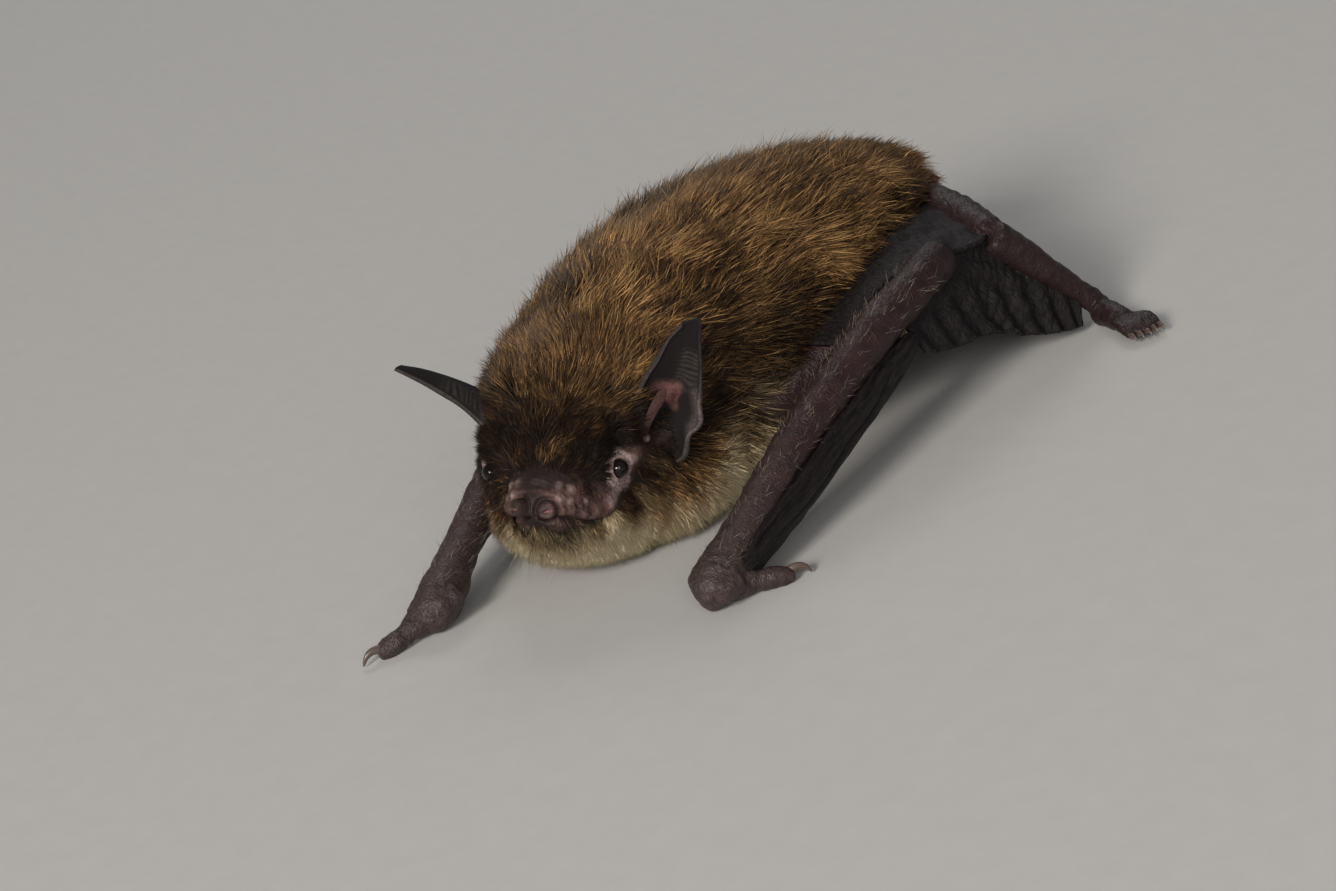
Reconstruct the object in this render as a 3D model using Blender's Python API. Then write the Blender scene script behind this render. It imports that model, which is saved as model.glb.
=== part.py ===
"""A small mouse-eared bat, life size and still, crouching on the floor on its wrists and feet.

Lengths are in metres, +Z is up and the head points to -Y, so the bat's left is +X.
Each named part of the animal is one closed solid. The furred parts reach to the tips of the coat.
Neighbours are parted by thin cuts, GAP wide, and nothing moves.
"""

import math

import bmesh
import bpy
import numpy as np

MM = 0.001
GAP = 0.2
LEFT, RIGHT = 1.0, -1.0

# Driving sizes of the animal, in millimetres: they are multiplied by MM where a shape is made.
FOREARM_RADIUS = 1.8
FOREARM_BOW = 1.4
WRIST_RADII = (1.9, 2.4, 2.1)
THUMB_RADIUS = 0.95
THIGH_RADIUS = 2.0
SHIN_RADIUS = 1.3
TOE_RADIUS = 0.42
TOE_SPACING = 0.62
MEMBRANE_THICKNESS = 0.6
EAR_THICKNESS = 0.55
EYE_RADIUS = 0.72
TRAGUS_SHARE = 0.52

# The middle of the stance, which is brought over the origin.
STANCE = (-0.026, -0.474, 0.0)

# Where the pieces are parted, as shares of the body's length from the nose to the rump.
NECK_START = 0.44
NECK_END = 0.50

# Stations of the body from nose to rump: centre x, y, z, half width, height above the centre, height
# below it, lean to the left in degrees, and how square the lower half is (2 is an ellipse).
BODY_STATIONS = [
    (4.95, -26.1, 8.4, 1.9, 1.6, 1.7, 9.0, 2.9),
    (4.55, -24.6, 8.3, 2.6, 2.2, 3.2, 9.0, 2.9),
    (4.05, -22.9, 8.4, 3.5, 3.1, 5.2, 9.0, 3.0),
    (3.3, -21.0, 8.7, 5.1, 4.5, 7.3, 9.0, 3.3),
    (2.2, -18.6, 9.2, 7.0, 6.2, 8.8, 9.0, 4.0),
    (1.3, -15.6, 9.9, 8.8, 7.7, 9.6, 8.0, 4.4),
    (0.8, -12.2, 10.4, 9.8, 8.7, 10.1, 5.0, 4.4),
    (0.5, -8.0, 10.8, 10.4, 9.7, 10.5, 2.0, 4.2),
    (0.2, -2.5, 11.1, 11.2, 10.5, 10.8, 0.0, 3.8),
    (0.0, 4.0, 11.2, 11.9, 10.8, 10.8, 0.0, 3.4),
    (0.0, 11.0, 11.0, 11.6, 10.4, 10.5, 0.0, 3.2),
    (0.0, 17.5, 10.9, 9.9, 9.2, 8.9, 0.0, 3.0),
    (0.0, 23.5, 10.7, 8.2, 7.3, 6.6, 0.0, 2.9),
    (0.0, 28.0, 10.5, 6.6, 5.7, 5.0, 0.0, 2.9),
    (0.0, 32.0, 10.2, 5.0, 4.5, 3.9, 0.0, 2.9),
]
ROUND_NOSE = 0.05
ROUND_RUMP = 0.10
BACK_POWER = 2.2

# The eyes on the body: share of the length, and angle up from the side of the head in degrees.
EYE_SHARE = 0.224
EYE_ANGLE = 13.0
EYE_DEPTH = 0.30
NOSTRIL_SHARE = 0.015
NOSTRIL_ANGLE = 36.0

# The mouth from its corner to the middle of the muzzle, counted like the eyes, and the slit's height.
MOUTH_LINE = [(0.199, -8.8), (0.169, -12.4), (0.131, -11.3), (0.078, -4.5), (0.040, 1.0), (0.0216, 3.4)]
MOUTH_GAP = 0.3
MOUTH_DEPTH = 0.45

# Joints of the limbs, left and right: the bat leans on its left wrist and reaches forward with the right.
SHOULDER = {LEFT: (8.0, -5.0, 5.8), RIGHT: (-8.0, -7.0, 5.8)}
ELBOW = {LEFT: (16.0, 13.4, 11.8), RIGHT: (-15.2, 7.2, 10.2)}
WRIST = {LEFT: (17.7, -22.6, 1.97), RIGHT: (-5.2, -29.0, 1.97)}
HIP = {LEFT: (5.0, 27.0, 10.6), RIGHT: (-5.0, 27.0, 10.6)}
KNEE = {LEFT: (16.4, 20.4, 10.7), RIGHT: (-16.4, 20.9, 10.2)}
ANKLE = {LEFT: (19.4, 27.6, 1.65), RIGHT: (-19.8, 29.6, 1.65)}
TOES = {LEFT: (27.3, 23.6, 0.35), RIGHT: (-27.0, 33.2, 0.35)}
THUMB_TIP = {LEFT: (20.9, -18.2, 0.55), RIGHT: (-7.0, -33.6, 0.55)}


# ---------------------------------------------------------------- curves and sections

def spline(table, share):
    """Rows of a table joined by a smooth Catmull-Rom curve, read at shares from 0 to 1."""
    rows = np.array(table, float)
    ends = np.vstack([2 * rows[0] - rows[1], rows, 2 * rows[-1] - rows[-2]])
    place = np.clip(np.asarray(share, float), 0, 1) * (len(rows) - 1)
    first = np.minimum(place.astype(int), len(rows) - 2)
    t = (place - first)[..., None]
    a, b, c, d = (ends[first + k] for k in range(4))
    return 0.5 * (2 * b + (c - a) * t + (2 * a - 5 * b + 4 * c - d) * t**2 + (3 * b - a - 3 * c + d) * t**3)


def unit(vectors):
    """The vectors at length one."""
    return vectors / np.maximum(np.linalg.norm(vectors, axis=-1, keepdims=True), 1e-12)


def frames(path, up):
    """Tangent, side and upward directions at each point of a path."""
    tangent = unit(np.gradient(path, axis=0))
    side = unit(np.cross(tangent, np.broadcast_to(np.asarray(up, float), tangent.shape)))
    return tangent, side, np.cross(side, tangent)


def rounded(share, start, end):
    """1 along a solid, falling to 0 at its ends as a circle does."""
    nose = np.clip(share / start, 0, 1) if start else np.ones_like(share)
    tail = np.clip((1 - share) / end, 0, 1) if end else np.ones_like(share)
    return np.sqrt(np.clip(1 - (1 - nose) ** 2, 0, 1) * np.clip(1 - (1 - tail) ** 2, 0, 1))


def oval(angle, power=2.0):
    """A superellipse of unit half axes: the signed powers of the cosine and sine of the angle."""
    c, s = np.cos(angle), np.sin(angle)
    return np.sign(c) * abs(c) ** (2 / power), np.sign(s) * abs(s) ** (2 / power)


def body_surface(share, angle, grow=0.0):
    """The coat's outer surface: shares from nose to rump, angles from the left side over the back."""
    share = np.asarray(share, float)
    row = spline(BODY_STATIONS, share)
    tangent, side, up = frames(spline(BODY_STATIONS, np.linspace(0, 1, 400))[:, :3], (0, 0, 1))
    at = np.clip(np.rint(share * 399).astype(int), 0, 399)
    lean = np.radians(row[..., 6])[..., None]
    left = side[at] * np.cos(lean) - up[at] * np.sin(lean)
    top = up[at] * np.cos(lean) + side[at] * np.sin(lean)
    across, over = oval(angle, np.where(np.sin(angle) > 0, BACK_POWER, row[..., 7]))
    closing = rounded(share, ROUND_NOSE, ROUND_RUMP)
    height = np.where(over > 0, row[..., 4], row[..., 5]) * closing + grow
    width = row[..., 3] * closing + grow
    return row[..., :3] + left * (width * across)[..., None] + top * (height * over)[..., None]


# ---------------------------------------------------------------- solids

def material(name, colour, roughness):
    """A Principled BSDF of one colour."""
    made = bpy.data.materials.new(name)
    made.use_nodes = True
    shader = made.node_tree.nodes["Principled BSDF"]
    shader.inputs["Base Color"].default_value = (*colour, 1)
    shader.inputs["Roughness"].default_value = roughness
    shader.inputs["Metallic"].default_value = 0.0
    return made


def solid(name, points, faces, finish):
    """A closed object made of points in millimetres and faces, turned outwards."""
    mesh = bpy.data.meshes.new(name)
    mesh.from_pydata(((np.asarray(points) - STANCE) * MM).tolist(), [], faces)
    work = bmesh.new()
    work.from_mesh(mesh)
    bmesh.ops.recalc_face_normals(work, faces=work.faces)
    work.to_mesh(mesh)
    work.free()
    mesh.shade_smooth()
    made = bpy.data.objects.new(name, mesh)
    made.data.materials.append(finish)
    bpy.context.scene.collection.objects.link(made)
    return made


def skinned(name, rings, finish):
    """A closed solid over rings of points that run along it, with a fan of faces at each end."""
    rings = np.asarray(rings)
    count, around = rings.shape[:2]
    points = np.vstack([rings.reshape(-1, 3), rings[0].mean(0), rings[-1].mean(0)])
    first, last = count * around, count * around + 1
    faces = []
    for j in range(around):
        k = (j + 1) % around
        faces.append((first, k, j))
        faces.append((last, (count - 1) * around + j, (count - 1) * around + k))
        faces += [(i * around + j, i * around + k, (i + 1) * around + k, (i + 1) * around + j)
                  for i in range(count - 1)]
    return solid(name, points, faces, finish)


def tube(name, table, finish, around=10, count=10, flat=1.0, up=(0, 0, 1), ends=(0.12, 0.12), grow=0.0,
         lobes=0):
    """A limb: rows of x, y, z and radius joined smoothly, flat times as wide, with round ends."""
    share = 0.5 - 0.5 * np.cos(np.linspace(0.12, math.pi - 0.12, count))
    row = spline(table, share)
    tangent, side, over = frames(row[:, :3], up)
    angle = np.linspace(0, 2 * math.pi, around, endpoint=False)
    ridge = 1 + (0.1 * np.cos(lobes * angle) if lobes else 0 * angle)
    radius = (row[:, 3] * rounded(share, *ends))[:, None] * ridge[None] + grow
    wide = side[:, None] * (np.cos(angle) * flat)[None, :, None]
    high = over[:, None] * np.sin(angle)[None, :, None]
    rings = row[:, None, :3] + (wide + high) * radius[..., None]
    shift = unit(row[-1, :3] - row[0, :3]) * grow
    rings[0] -= shift
    rings[-1] += shift
    return skinned(name, rings, finish)


def ball(name, centre, radii, finish, around=16, rows=9, grow=0.0):
    """An ellipsoid."""
    rise = np.linspace(-math.pi / 2 + 0.16, math.pi / 2 - 0.16, rows)
    angle = np.linspace(0, 2 * math.pi, around, endpoint=False)
    shape = np.stack(np.broadcast_arrays(np.cos(rise)[:, None] * np.cos(angle)[None],
                                         np.cos(rise)[:, None] * np.sin(angle)[None],
                                         np.sin(rise)[:, None]), -1)
    return skinned(name, np.asarray(centre) + shape * (np.asarray(radii) + grow), finish)


def sheet(name, middle, thickness, finish):
    """A closed sheet: a grid of points given its thickness along the normals, with walls at its rim."""
    middle = np.asarray(middle)
    rows, columns = middle.shape[:2]
    normal = unit(np.cross(np.gradient(middle, axis=0), np.gradient(middle, axis=1)))
    half = normal * thickness / 2
    points = np.concatenate([(middle + half).reshape(-1, 3), (middle - half).reshape(-1, 3)])
    back = rows * columns
    faces = []
    for i in range(rows - 1):
        for j in range(columns - 1):
            near, far = i * columns + j, (i + 1) * columns + j
            corner = [near, near + 1, far + 1, far]
            faces.append(tuple(corner))
            faces.append(tuple(back + k for k in reversed(corner)))
    rim = [(0, j) for j in range(columns)] + [(i, columns - 1) for i in range(1, rows)]
    rim += [(rows - 1, j) for j in range(columns - 2, -1, -1)] + [(i, 0) for i in range(rows - 2, 0, -1)]
    loop = [i * columns + j for i, j in rim]
    faces += [(b, a, back + a, back + b) for a, b in zip(loop, loop[1:] + loop[:1])]
    return solid(name, points, faces, finish)


def patch(first_edge, last_edge, rows, columns, bulge=(0, 0, 0), pleats=0, depth=0.0):
    """A grid between two edges, each a table of points, swelling by bulge in its middle and pleated."""
    v = np.linspace(0, 1, rows)[:, None, None]
    u = np.linspace(0, 1, columns)
    grid = spline(first_edge, u)[None] * (1 - v) + spline(last_edge, u)[None] * v
    swell = np.sin(math.pi * v) * np.sin(math.pi * u)[None, :, None]
    fold = np.sin(2 * math.pi * pleats * u)[None, :, None] * v * depth
    normal = unit(np.cross(np.gradient(grid, axis=0), np.gradient(grid, axis=1)))
    return grid + swell * np.asarray(bulge, float) + normal * fold


# ---------------------------------------------------------------- cuts

def guide(made):
    """Marks a cutter, which is no part of the animal."""
    made.hide_render = True
    made.display_type = "WIRE"
    return made


def combine(made, cutters, operation="DIFFERENCE"):
    """Boolean operations with the cutters, in turn."""
    for cutter in cutters:
        step = made.modifiers.new(operation.title(), "BOOLEAN")
        step.operation = operation
        step.solver = "EXACT"
        step.object = cutter
    return made


def twin(shape, name, *args, **kwargs):
    """A solid and, GAP larger all round, the cutter that parts its neighbours from it."""
    made = shape(name, *args, **kwargs)
    return made, guide(shape("around_" + name, *args, grow=GAP, **kwargs))


def body_piece(name, start, end, count, around, finish, grow=0.0):
    """A length of the body between two shares, finely spaced near the nose and the rump."""
    share = np.linspace(start, end, count)
    if start == 0:
        share = end * np.linspace(0.03, 1, count) ** 1.5
    if end == 1:
        share = 1 - (1 - start) * np.linspace(1, 0.02, count) ** 1.3
    angle = np.linspace(0, 2 * math.pi, around, endpoint=False)
    return skinned(name, body_surface(share[:, None], angle[None] + 0 * share[:, None], grow), finish)


def along(a, b, t, rise=0.0):
    """The point a share t of the way from a to b, raised by rise."""
    return tuple(p + (q - p) * t + (rise if k == 2 else 0.0) for k, (p, q) in enumerate(zip(a, b)))


for old in list(bpy.data.objects):
    bpy.data.objects.remove(old)

COAT = material("coat_brown", (0.16, 0.085, 0.04), 0.8)
SKIN = material("bare_skin", (0.075, 0.035, 0.035), 0.5)
MEMBRANE = material("wing_skin", (0.03, 0.02, 0.022), 0.5)
EYE = material("eye_black", (0.005, 0.004, 0.004), 0.08)
CLAW = material("claw_horn", (0.10, 0.07, 0.055), 0.35)

# Whatever would reach below the floor is trimmed to a small flat.
BLOCK_CORNERS = [(x, y, z) for z in (-6, 0) for y in (-60, 60) for x in (-60, 60)]
BLOCK_FACES = [(0, 1, 3, 2), (4, 6, 7, 5), (0, 4, 5, 1), (2, 3, 7, 6), (0, 2, 6, 4), (1, 5, 7, 3)]
FLOOR = guide(solid("floor_trim", BLOCK_CORNERS, BLOCK_FACES, COAT))

# ---------------------------------------------------------------- head, neck and trunk

head = body_piece("head", 0, NECK_START, 14, 20, COAT)
neck = body_piece("neck", NECK_START + 0.004, NECK_END, 3, 20, COAT)
trunk = body_piece("trunk", NECK_END + 0.004, 1, 13, 20, COAT)
whole_coat = guide(body_piece("around_body", 0, 1, 30, 20, COAT, grow=GAP))

for label, angle in (("left", EYE_ANGLE), ("right", 180 - EYE_ANGLE)):
    centre = body_surface(np.array([EYE_SHARE]), np.radians([angle]), -EYE_DEPTH)[0]
    eye, socket = twin(ball, "eye_" + label, centre, (EYE_RADIUS,) * 3, EYE, around=10, rows=6)
    combine(head, [socket])

# Nostrils at the front of the muzzle, and the line of the mouth from corner to corner.
for label, angle in (("left", NOSTRIL_ANGLE), ("right", 180 - NOSTRIL_ANGLE)):
    centre = body_surface(np.array([NOSTRIL_SHARE]), np.radians([angle]))[0]
    combine(head, [guide(ball("nostril_" + label, centre, (0.42, 0.55, 0.34), SKIN, around=8, rows=5))])
lip_share, lip_rise = np.array(MOUTH_LINE).T
lip_share = np.concatenate([lip_share, lip_share[::-1]])
lip_angle = np.radians(np.concatenate([lip_rise, 180 - lip_rise[::-1]]))
lips = body_surface(lip_share, lip_angle)
inwards = unit(spline(BODY_STATIONS, lip_share[:1])[:, :3] - lips)
mouth = np.array([lips + inwards * reach for reach in (-0.6, MOUTH_DEPTH)])
combine(head, [guide(sheet("mouth_line", mouth, MOUTH_GAP, SKIN))])

# ---------------------------------------------------------------- ears

# Width across a spread ear at heights from base to tip, and how far its sides curl round, in degrees.
EAR_PROFILE = [(2.0, 95), (2.7, 80), (3.0, 62), (2.8, 48), (2.2, 36), (1.5, 28), (0.75, 22)]
EARS = {
    "left": {"base": (7.2, -13.4, 8.8), "tip": (14.4, -13.5, 18.9), "facing": (0.55, -0.80, -0.15),
             "spread": 0.86},
    "right": {"base": (-1.4, -16.0, 10.1), "tip": (-7.0, -23.1, 19.4), "facing": (-0.50, -0.52, -0.38),
              "spread": 1.05},
}
EAR_BEND = -0.8


def ear_grid(base, tip, facing, spread, rows=10, columns=8):
    """The middle of an ear: arcs across it, widest at a third of its height, cupped towards facing."""
    base, tip = np.array(base), np.array(tip)
    axis = unit(tip - base)
    front = unit(np.array(facing) - axis * np.dot(facing, axis))
    across = np.cross(axis, front)
    height = np.linspace(0, 1, rows)
    half_width, curl = spline(EAR_PROFILE, height).T * ((spread,), (1.0,))
    arc = np.radians(curl)[:, None] * np.linspace(-1, 1, columns)[None]
    radius = (half_width / np.sin(np.minimum(np.radians(curl), math.pi / 2)))[:, None]
    centre = base + (tip - base) * height[:, None] + front * (EAR_BEND * np.sin(math.pi * height))[:, None]
    sideways = across * (radius * np.sin(arc))[..., None]
    forward = front * (radius * (1 - np.cos(arc)))[..., None]
    return centre[:, None] + sideways + forward


for label, pose in EARS.items():
    ear = sheet("ear_" + label, ear_grid(**pose), EAR_THICKNESS, SKIN)
    combine(ear, [whole_coat])
    blade = (np.array(pose["tip"]) - np.array(pose["base"])) * TRAGUS_SHARE
    foot_of_tragus = np.array(pose["base"]) + unit(np.array(pose["facing"])) * 1.35
    tragus_table = [(*(foot_of_tragus + blade * t), r)
                    for t, r in ((0, 0.8), (0.5, 0.75), (0.85, 0.5), (1.0, 0.3))]
    tragus = tube("tragus_" + label, tragus_table, SKIN, around=8, count=8, flat=0.5, up=pose["facing"])
    combine(tragus, [whole_coat])

# ---------------------------------------------------------------- arms

# The thumb's claw: distance past the thumb's tip, rise and radius along its hook.
CLAW_HOOK = [(-0.2, 0.15, 0.34), (0.9, 0.4, 0.32), (1.7, 0.0, 0.24), (2.1, -0.5, 0.12)]
# The long fingers, folded back under the forearm and wrapped in the pleated wing: share of the way
# from the wrist to the elbow, sideways and downward offset, and radius.
FOLDED_FINGERS = [(0.03, 1.2, 0.3, 1.1), (0.18, 1.35, 0.5, 1.3), (0.38, 1.3, 0.85, 1.42),
                  (0.56, 1.25, 1.15, 1.38), (0.7, 1.3, 1.35, 1.15), (0.82, 1.3, 1.5, 0.7)]

for label, side in (("left", LEFT), ("right", RIGHT)):
    elbow, wrist, shoulder, thumb_tip = ELBOW[side], WRIST[side], SHOULDER[side], THUMB_TIP[side]
    forearm_table = [
        (*elbow, 1.0),
        (*along(elbow, wrist, 0.05, 0.2), 1.05),
        (*along(elbow, wrist, 0.3, 0.9 * FOREARM_BOW), 1.04),
        (*along(elbow, wrist, 0.6, FOREARM_BOW), 0.95),
        (*along(elbow, wrist, 0.85, 0.5 * FOREARM_BOW), 0.88),
        (*along(elbow, wrist, 1.0), 0.95),
    ]
    forearm_table = [(x, y, z, r * FOREARM_RADIUS) for x, y, z, r in forearm_table]
    forearm, around_forearm = twin(tube, "forearm_" + label, forearm_table, SKIN, around=12, count=11,
                                   ends=(0.05, 0.05))
    hand, around_hand = twin(ball, "wrist_" + label, wrist, WRIST_RADII, SKIN, around=12, rows=8)
    combine(forearm, [around_hand])
    if side == RIGHT:
        for furred in (head, neck, trunk):
            combine(furred, [around_forearm])
    combine(hand, [FLOOR])

    upper_table = [(*shoulder, 2.2), (*along(shoulder, elbow, 0.35), 2.0),
                   (*along(shoulder, elbow, 0.7), 1.7), (*along(shoulder, elbow, 0.97), 1.6)]
    upper_arm, around_upper = twin(tube, "upper_arm_" + label, upper_table, SKIN, around=9, count=7)
    combine(upper_arm, [whole_coat, around_forearm])

    fold_table = [(*(np.array(along(wrist, elbow, share)) + (side * out, 0, -drop)), r)
                  for share, out, drop, r in FOLDED_FINGERS]
    fingers, around_fingers = twin(tube, "fingers_" + label, fold_table, MEMBRANE, around=14, count=10,
                                   flat=0.8, lobes=5, ends=(0.06, 0.1))
    combine(fingers, [around_hand, around_forearm, FLOOR])

    thumb_start = along(wrist, thumb_tip, 0.12)
    thumb_table = [(*thumb_start, THUMB_RADIUS),
                   (*along(thumb_start, thumb_tip, 0.5, -0.05), THUMB_RADIUS * 0.95),
                   (*thumb_tip, THUMB_RADIUS * 0.8)]
    thumb, around_thumb = twin(tube, "thumb_" + label, thumb_table, SKIN, around=8, count=7,
                               ends=(0.1, 0.2))
    combine(thumb, [around_hand, around_fingers, FLOOR])
    reach = unit(np.array(thumb_tip) - np.array(thumb_start)) * (1, 1, 0)
    claw_table = [(*(np.array(thumb_tip) + reach * out + (0, 0, rise)), r) for out, rise, r in CLAW_HOOK]
    claw = tube("thumb_claw_" + label, claw_table, CLAW, around=6, count=7, ends=(0.1, 0.15))
    combine(claw, [around_thumb, FLOOR])

# ---------------------------------------------------------------- legs and tail

tail_table = [(0, 29.8, 8.6, 1.15), (0, 32.6, 6.4, 1.0), (0, 33.6, 3.4, 0.95), (0, 31.6, 1.2, 0.9),
              (0.4, 27.0, 0.8, 0.85), (1.0, 21.5, 0.78, 0.8), (1.2, 16.0, 0.75, 0.6)]
tail, around_tail = twin(tube, "tail", tail_table, SKIN, around=8, count=18, up=(1, 0, 0),
                         ends=(0.05, 0.08))
combine(tail, [whole_coat, FLOOR])

for label, side in (("left", LEFT), ("right", RIGHT)):
    hip, knee, ankle, toes = HIP[side], KNEE[side], ANKLE[side], TOES[side]
    thigh_table = [(*hip, 2.3), (*along(hip, knee, 0.5, 0.3), THIGH_RADIUS), (*knee, 1.5)]
    thigh, around_thigh = twin(tube, "thigh_" + label, thigh_table, SKIN, around=10, count=8,
                               ends=(0.1, 0.1))
    combine(thigh, [whole_coat])
    shin_table = [(*along(knee, ankle, 0.03), 1.45), (*along(knee, ankle, 0.45), SHIN_RADIUS),
                  (*along(knee, ankle, 1.0), 1.05)]
    shin, around_shin = twin(tube, "shin_" + label, shin_table, SKIN, around=10, count=8, ends=(0.1, 0.06))
    combine(shin, [around_thigh])

    sole_start, sole_end = along(ankle, toes, 0.0, -0.6), along(ankle, toes, 0.5, -0.1)
    sole_table = [(*sole_start, 1.15), (*along(sole_start, sole_end, 0.5), 1.0), (*sole_end, 0.75)]
    foot = tube("foot_" + label, sole_table, SKIN, around=10, count=7, flat=1.35, ends=(0.12, 0.25))
    around_foot = guide(tube("around_foot_" + label, sole_table, SKIN, around=10, count=7, flat=1.35,
                             ends=(0.12, 0.25), grow=GAP))
    ahead = unit((np.array(toes) - np.array(sole_end)) * (1, 1, 0))
    beside = np.array((-ahead[1], ahead[0], 0.0))
    toe_parts = []
    for k in range(5):
        spread = (k - 2) * TOE_SPACING
        start = np.array(sole_end) - ahead * 0.6 + beside * spread * 0.8
        bend = start + ahead * (2.4 - 0.1 * abs(k - 2)) + beside * spread * 0.25 + (0, 0, 0.25)
        tip = bend + ahead * 1.2 + (0, 0, -0.5)
        toe = [(*start, TOE_RADIUS), (*bend, TOE_RADIUS * 1.05), (*tip, TOE_RADIUS * 0.7),
               (*(tip + ahead * 0.8 + (0, 0, -0.15)), TOE_RADIUS * 0.3)]
        toe_name = "toe_%s_%d" % (label, k + 1)
        toe_parts.append(guide(tube(toe_name, toe, SKIN, around=5, count=5, ends=(0.1, 0.1))))
    combine(foot, toe_parts, "UNION")
    combine(foot, [FLOOR])
    combine(shin, [around_foot])

    # The tail membrane hangs from the rump between the tail and the leg.
    tail_edge = [(side * 0.9, 30.0, 8.4), (side * 1.0, 32.7, 6.0), (side * 1.0, 33.6, 3.4),
                 (side * 1.0, 32.6, 1.4)]
    leg_edge = [(side * 9.0, 25.6, 9.4), (knee[0] - side * 1.2, knee[1] + 2.2, 7.6),
                (ankle[0] - side * 2.2, ankle[1] - 1.2, 4.4), (ankle[0] - side * 1.9, ankle[1] + 0.4, 1.2)]
    skirt = sheet("tail_membrane_" + label, patch(tail_edge, leg_edge, 7, 6, bulge=(0, 1.5, -0.6)),
                  MEMBRANE_THICKNESS, MEMBRANE)
    combine(skirt, [whole_coat, around_tail, around_thigh, around_shin, around_foot, FLOOR])

    # The wing membrane hangs in pleats between the elbow, the folded fingers and the leg.
    elbow, wrist = ELBOW[side], WRIST[side]
    top_edge = [along(elbow, wrist, 0.2, FOREARM_BOW * 0.6), along(elbow, wrist, 0.08, 0.3),
                along(elbow, knee, 0.15), along(elbow, knee, 0.85),
                along(knee, ankle, 0.4), along(knee, ankle, 0.8)]
    low_edge = [(elbow[0] + side * 1.9, elbow[1] - 6.6, elbow[2] - 5.0),
                (elbow[0] + side * 1.6, elbow[1] - 2.4, elbow[2] - 6.4),
                (elbow[0] + side * 1.5, elbow[1] + 2.4, elbow[2] - 7.4),
                (knee[0] + side * 1.6, knee[1] - 1.0, 2.6),
                (ankle[0] - side * 0.9, ankle[1] - 4.6, 1.2),
                (ankle[0] - side * 0.1, ankle[1] - 2.6, 0.8)]
    curtain = sheet("wing_membrane_" + label, patch(top_edge, low_edge, 5, 13, pleats=3, depth=0.4),
                    MEMBRANE_THICKNESS, MEMBRANE)
    around_forearm = bpy.data.objects["around_forearm_" + label]
    around_fingers = bpy.data.objects["around_fingers_" + label]
    combine(curtain, [around_forearm, around_fingers, around_thigh, around_shin, around_foot, FLOOR])

    # The flank membrane closes the space between the trunk, the elbow and the thigh.
    inner_edge = [(side * 10.6, elbow[1] - 12.0, 10.6), (side * 10.0, elbow[1] - 6.0, 12.8),
                  (side * 9.0, elbow[1] + 1.0, 14.2), (side * 6.6, 21.5, 13.8), (side * 4.2, 25.8, 12.6)]
    outer_edge = [(elbow[0] - side * 1.4, elbow[1] - 12.0, 10.0),
                  (elbow[0] - side * 0.8, elbow[1] - 6.0, 12.4),
                  (elbow[0] - side * 0.3, elbow[1] + 1.2, elbow[2] + 1.3),
                  (knee[0] - side * 0.8, knee[1] - 0.8, knee[2] + 1.0), (side * 9.5, 24.8, 12.6)]
    flank = sheet("flank_membrane_" + label, patch(inner_edge, outer_edge, 4, 9), MEMBRANE_THICKNESS,
                  MEMBRANE)
    around_upper = bpy.data.objects["around_upper_arm_" + label]
    combine(flank, [whole_coat, around_upper, around_forearm, around_thigh, around_shin])
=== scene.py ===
# %% [markdown]
# # A small mouse-eared bat, resting on its wrists and feet
#
# This lesson dresses a finished set of plain solids as a living bat, about as long as a thumb.
# The solids give the outline out to the tips of the coat. Here they are replaced by one skin, a folded
# wing, two eyes, claws and a coat made of many thousand fine tufts, each a real piece of mesh.
# Every length in this lesson is in millimetres, and is turned into metres where a mesh is made.

# %% Load the frame
import math

import bpy
import numpy as np
from mathutils import Matrix, Vector


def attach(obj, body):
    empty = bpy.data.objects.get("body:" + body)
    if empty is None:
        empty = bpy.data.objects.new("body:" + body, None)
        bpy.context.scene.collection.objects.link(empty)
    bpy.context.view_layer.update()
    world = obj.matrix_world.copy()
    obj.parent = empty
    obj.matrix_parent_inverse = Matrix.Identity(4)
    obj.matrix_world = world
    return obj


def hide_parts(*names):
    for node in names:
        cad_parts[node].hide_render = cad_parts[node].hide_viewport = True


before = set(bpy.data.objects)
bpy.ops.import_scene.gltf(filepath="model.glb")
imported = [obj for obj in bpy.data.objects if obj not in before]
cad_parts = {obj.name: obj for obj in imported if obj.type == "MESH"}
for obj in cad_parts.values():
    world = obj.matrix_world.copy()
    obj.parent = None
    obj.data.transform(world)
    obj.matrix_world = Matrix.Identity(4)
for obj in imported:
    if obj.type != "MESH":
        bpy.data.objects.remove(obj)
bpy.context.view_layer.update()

# %% [markdown]
# ## Small tools for curves
#
# The animal is described by short tables, as a shipwright describes a hull by its frames. A smooth curve
# through the rows of a table can be a Bezier curve, a NURBS or a Catmull-Rom spline. The last is used,
# because it passes through every row, so that each number in a table is a size that can be measured.

# %% Curves, steps and a soft noise
MM = 0.001
# Where the frame has its origin, in the tables' coordinates.
STANCE = np.array((-0.026, -0.474, 0.0))
LEFT, RIGHT = 1.0, -1.0
rng = np.random.default_rng(11)


def spline(table, share):
    """Catmull-Rom: between rows b and c, half of (2b + (c-a)t + (2a-5b+4c-d)t^2 + (3b-a-3c+d)t^3)."""
    rows = np.array(table, float)
    ends = np.vstack([2 * rows[0] - rows[1], rows, 2 * rows[-1] - rows[-2]])
    place = np.clip(np.asarray(share, float), 0, 1) * (len(rows) - 1)
    first = np.minimum(place.astype(int), len(rows) - 2)
    t = (place - first)[..., None]
    a, b, c, d = (ends[first + k] for k in range(4))
    return 0.5 * (2 * b + (c - a) * t + (2 * a - 5 * b + 4 * c - d) * t**2 + (3 * b - a - 3 * c + d) * t**3)


def unit(vectors):
    """Each vector divided by its length."""
    return vectors / np.maximum(np.linalg.norm(vectors, axis=-1, keepdims=True), 1e-12)


def dot(a, b):
    """The sum of the products of the coordinates, kept as a column."""
    return (a * b).sum(-1, keepdims=True)


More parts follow.
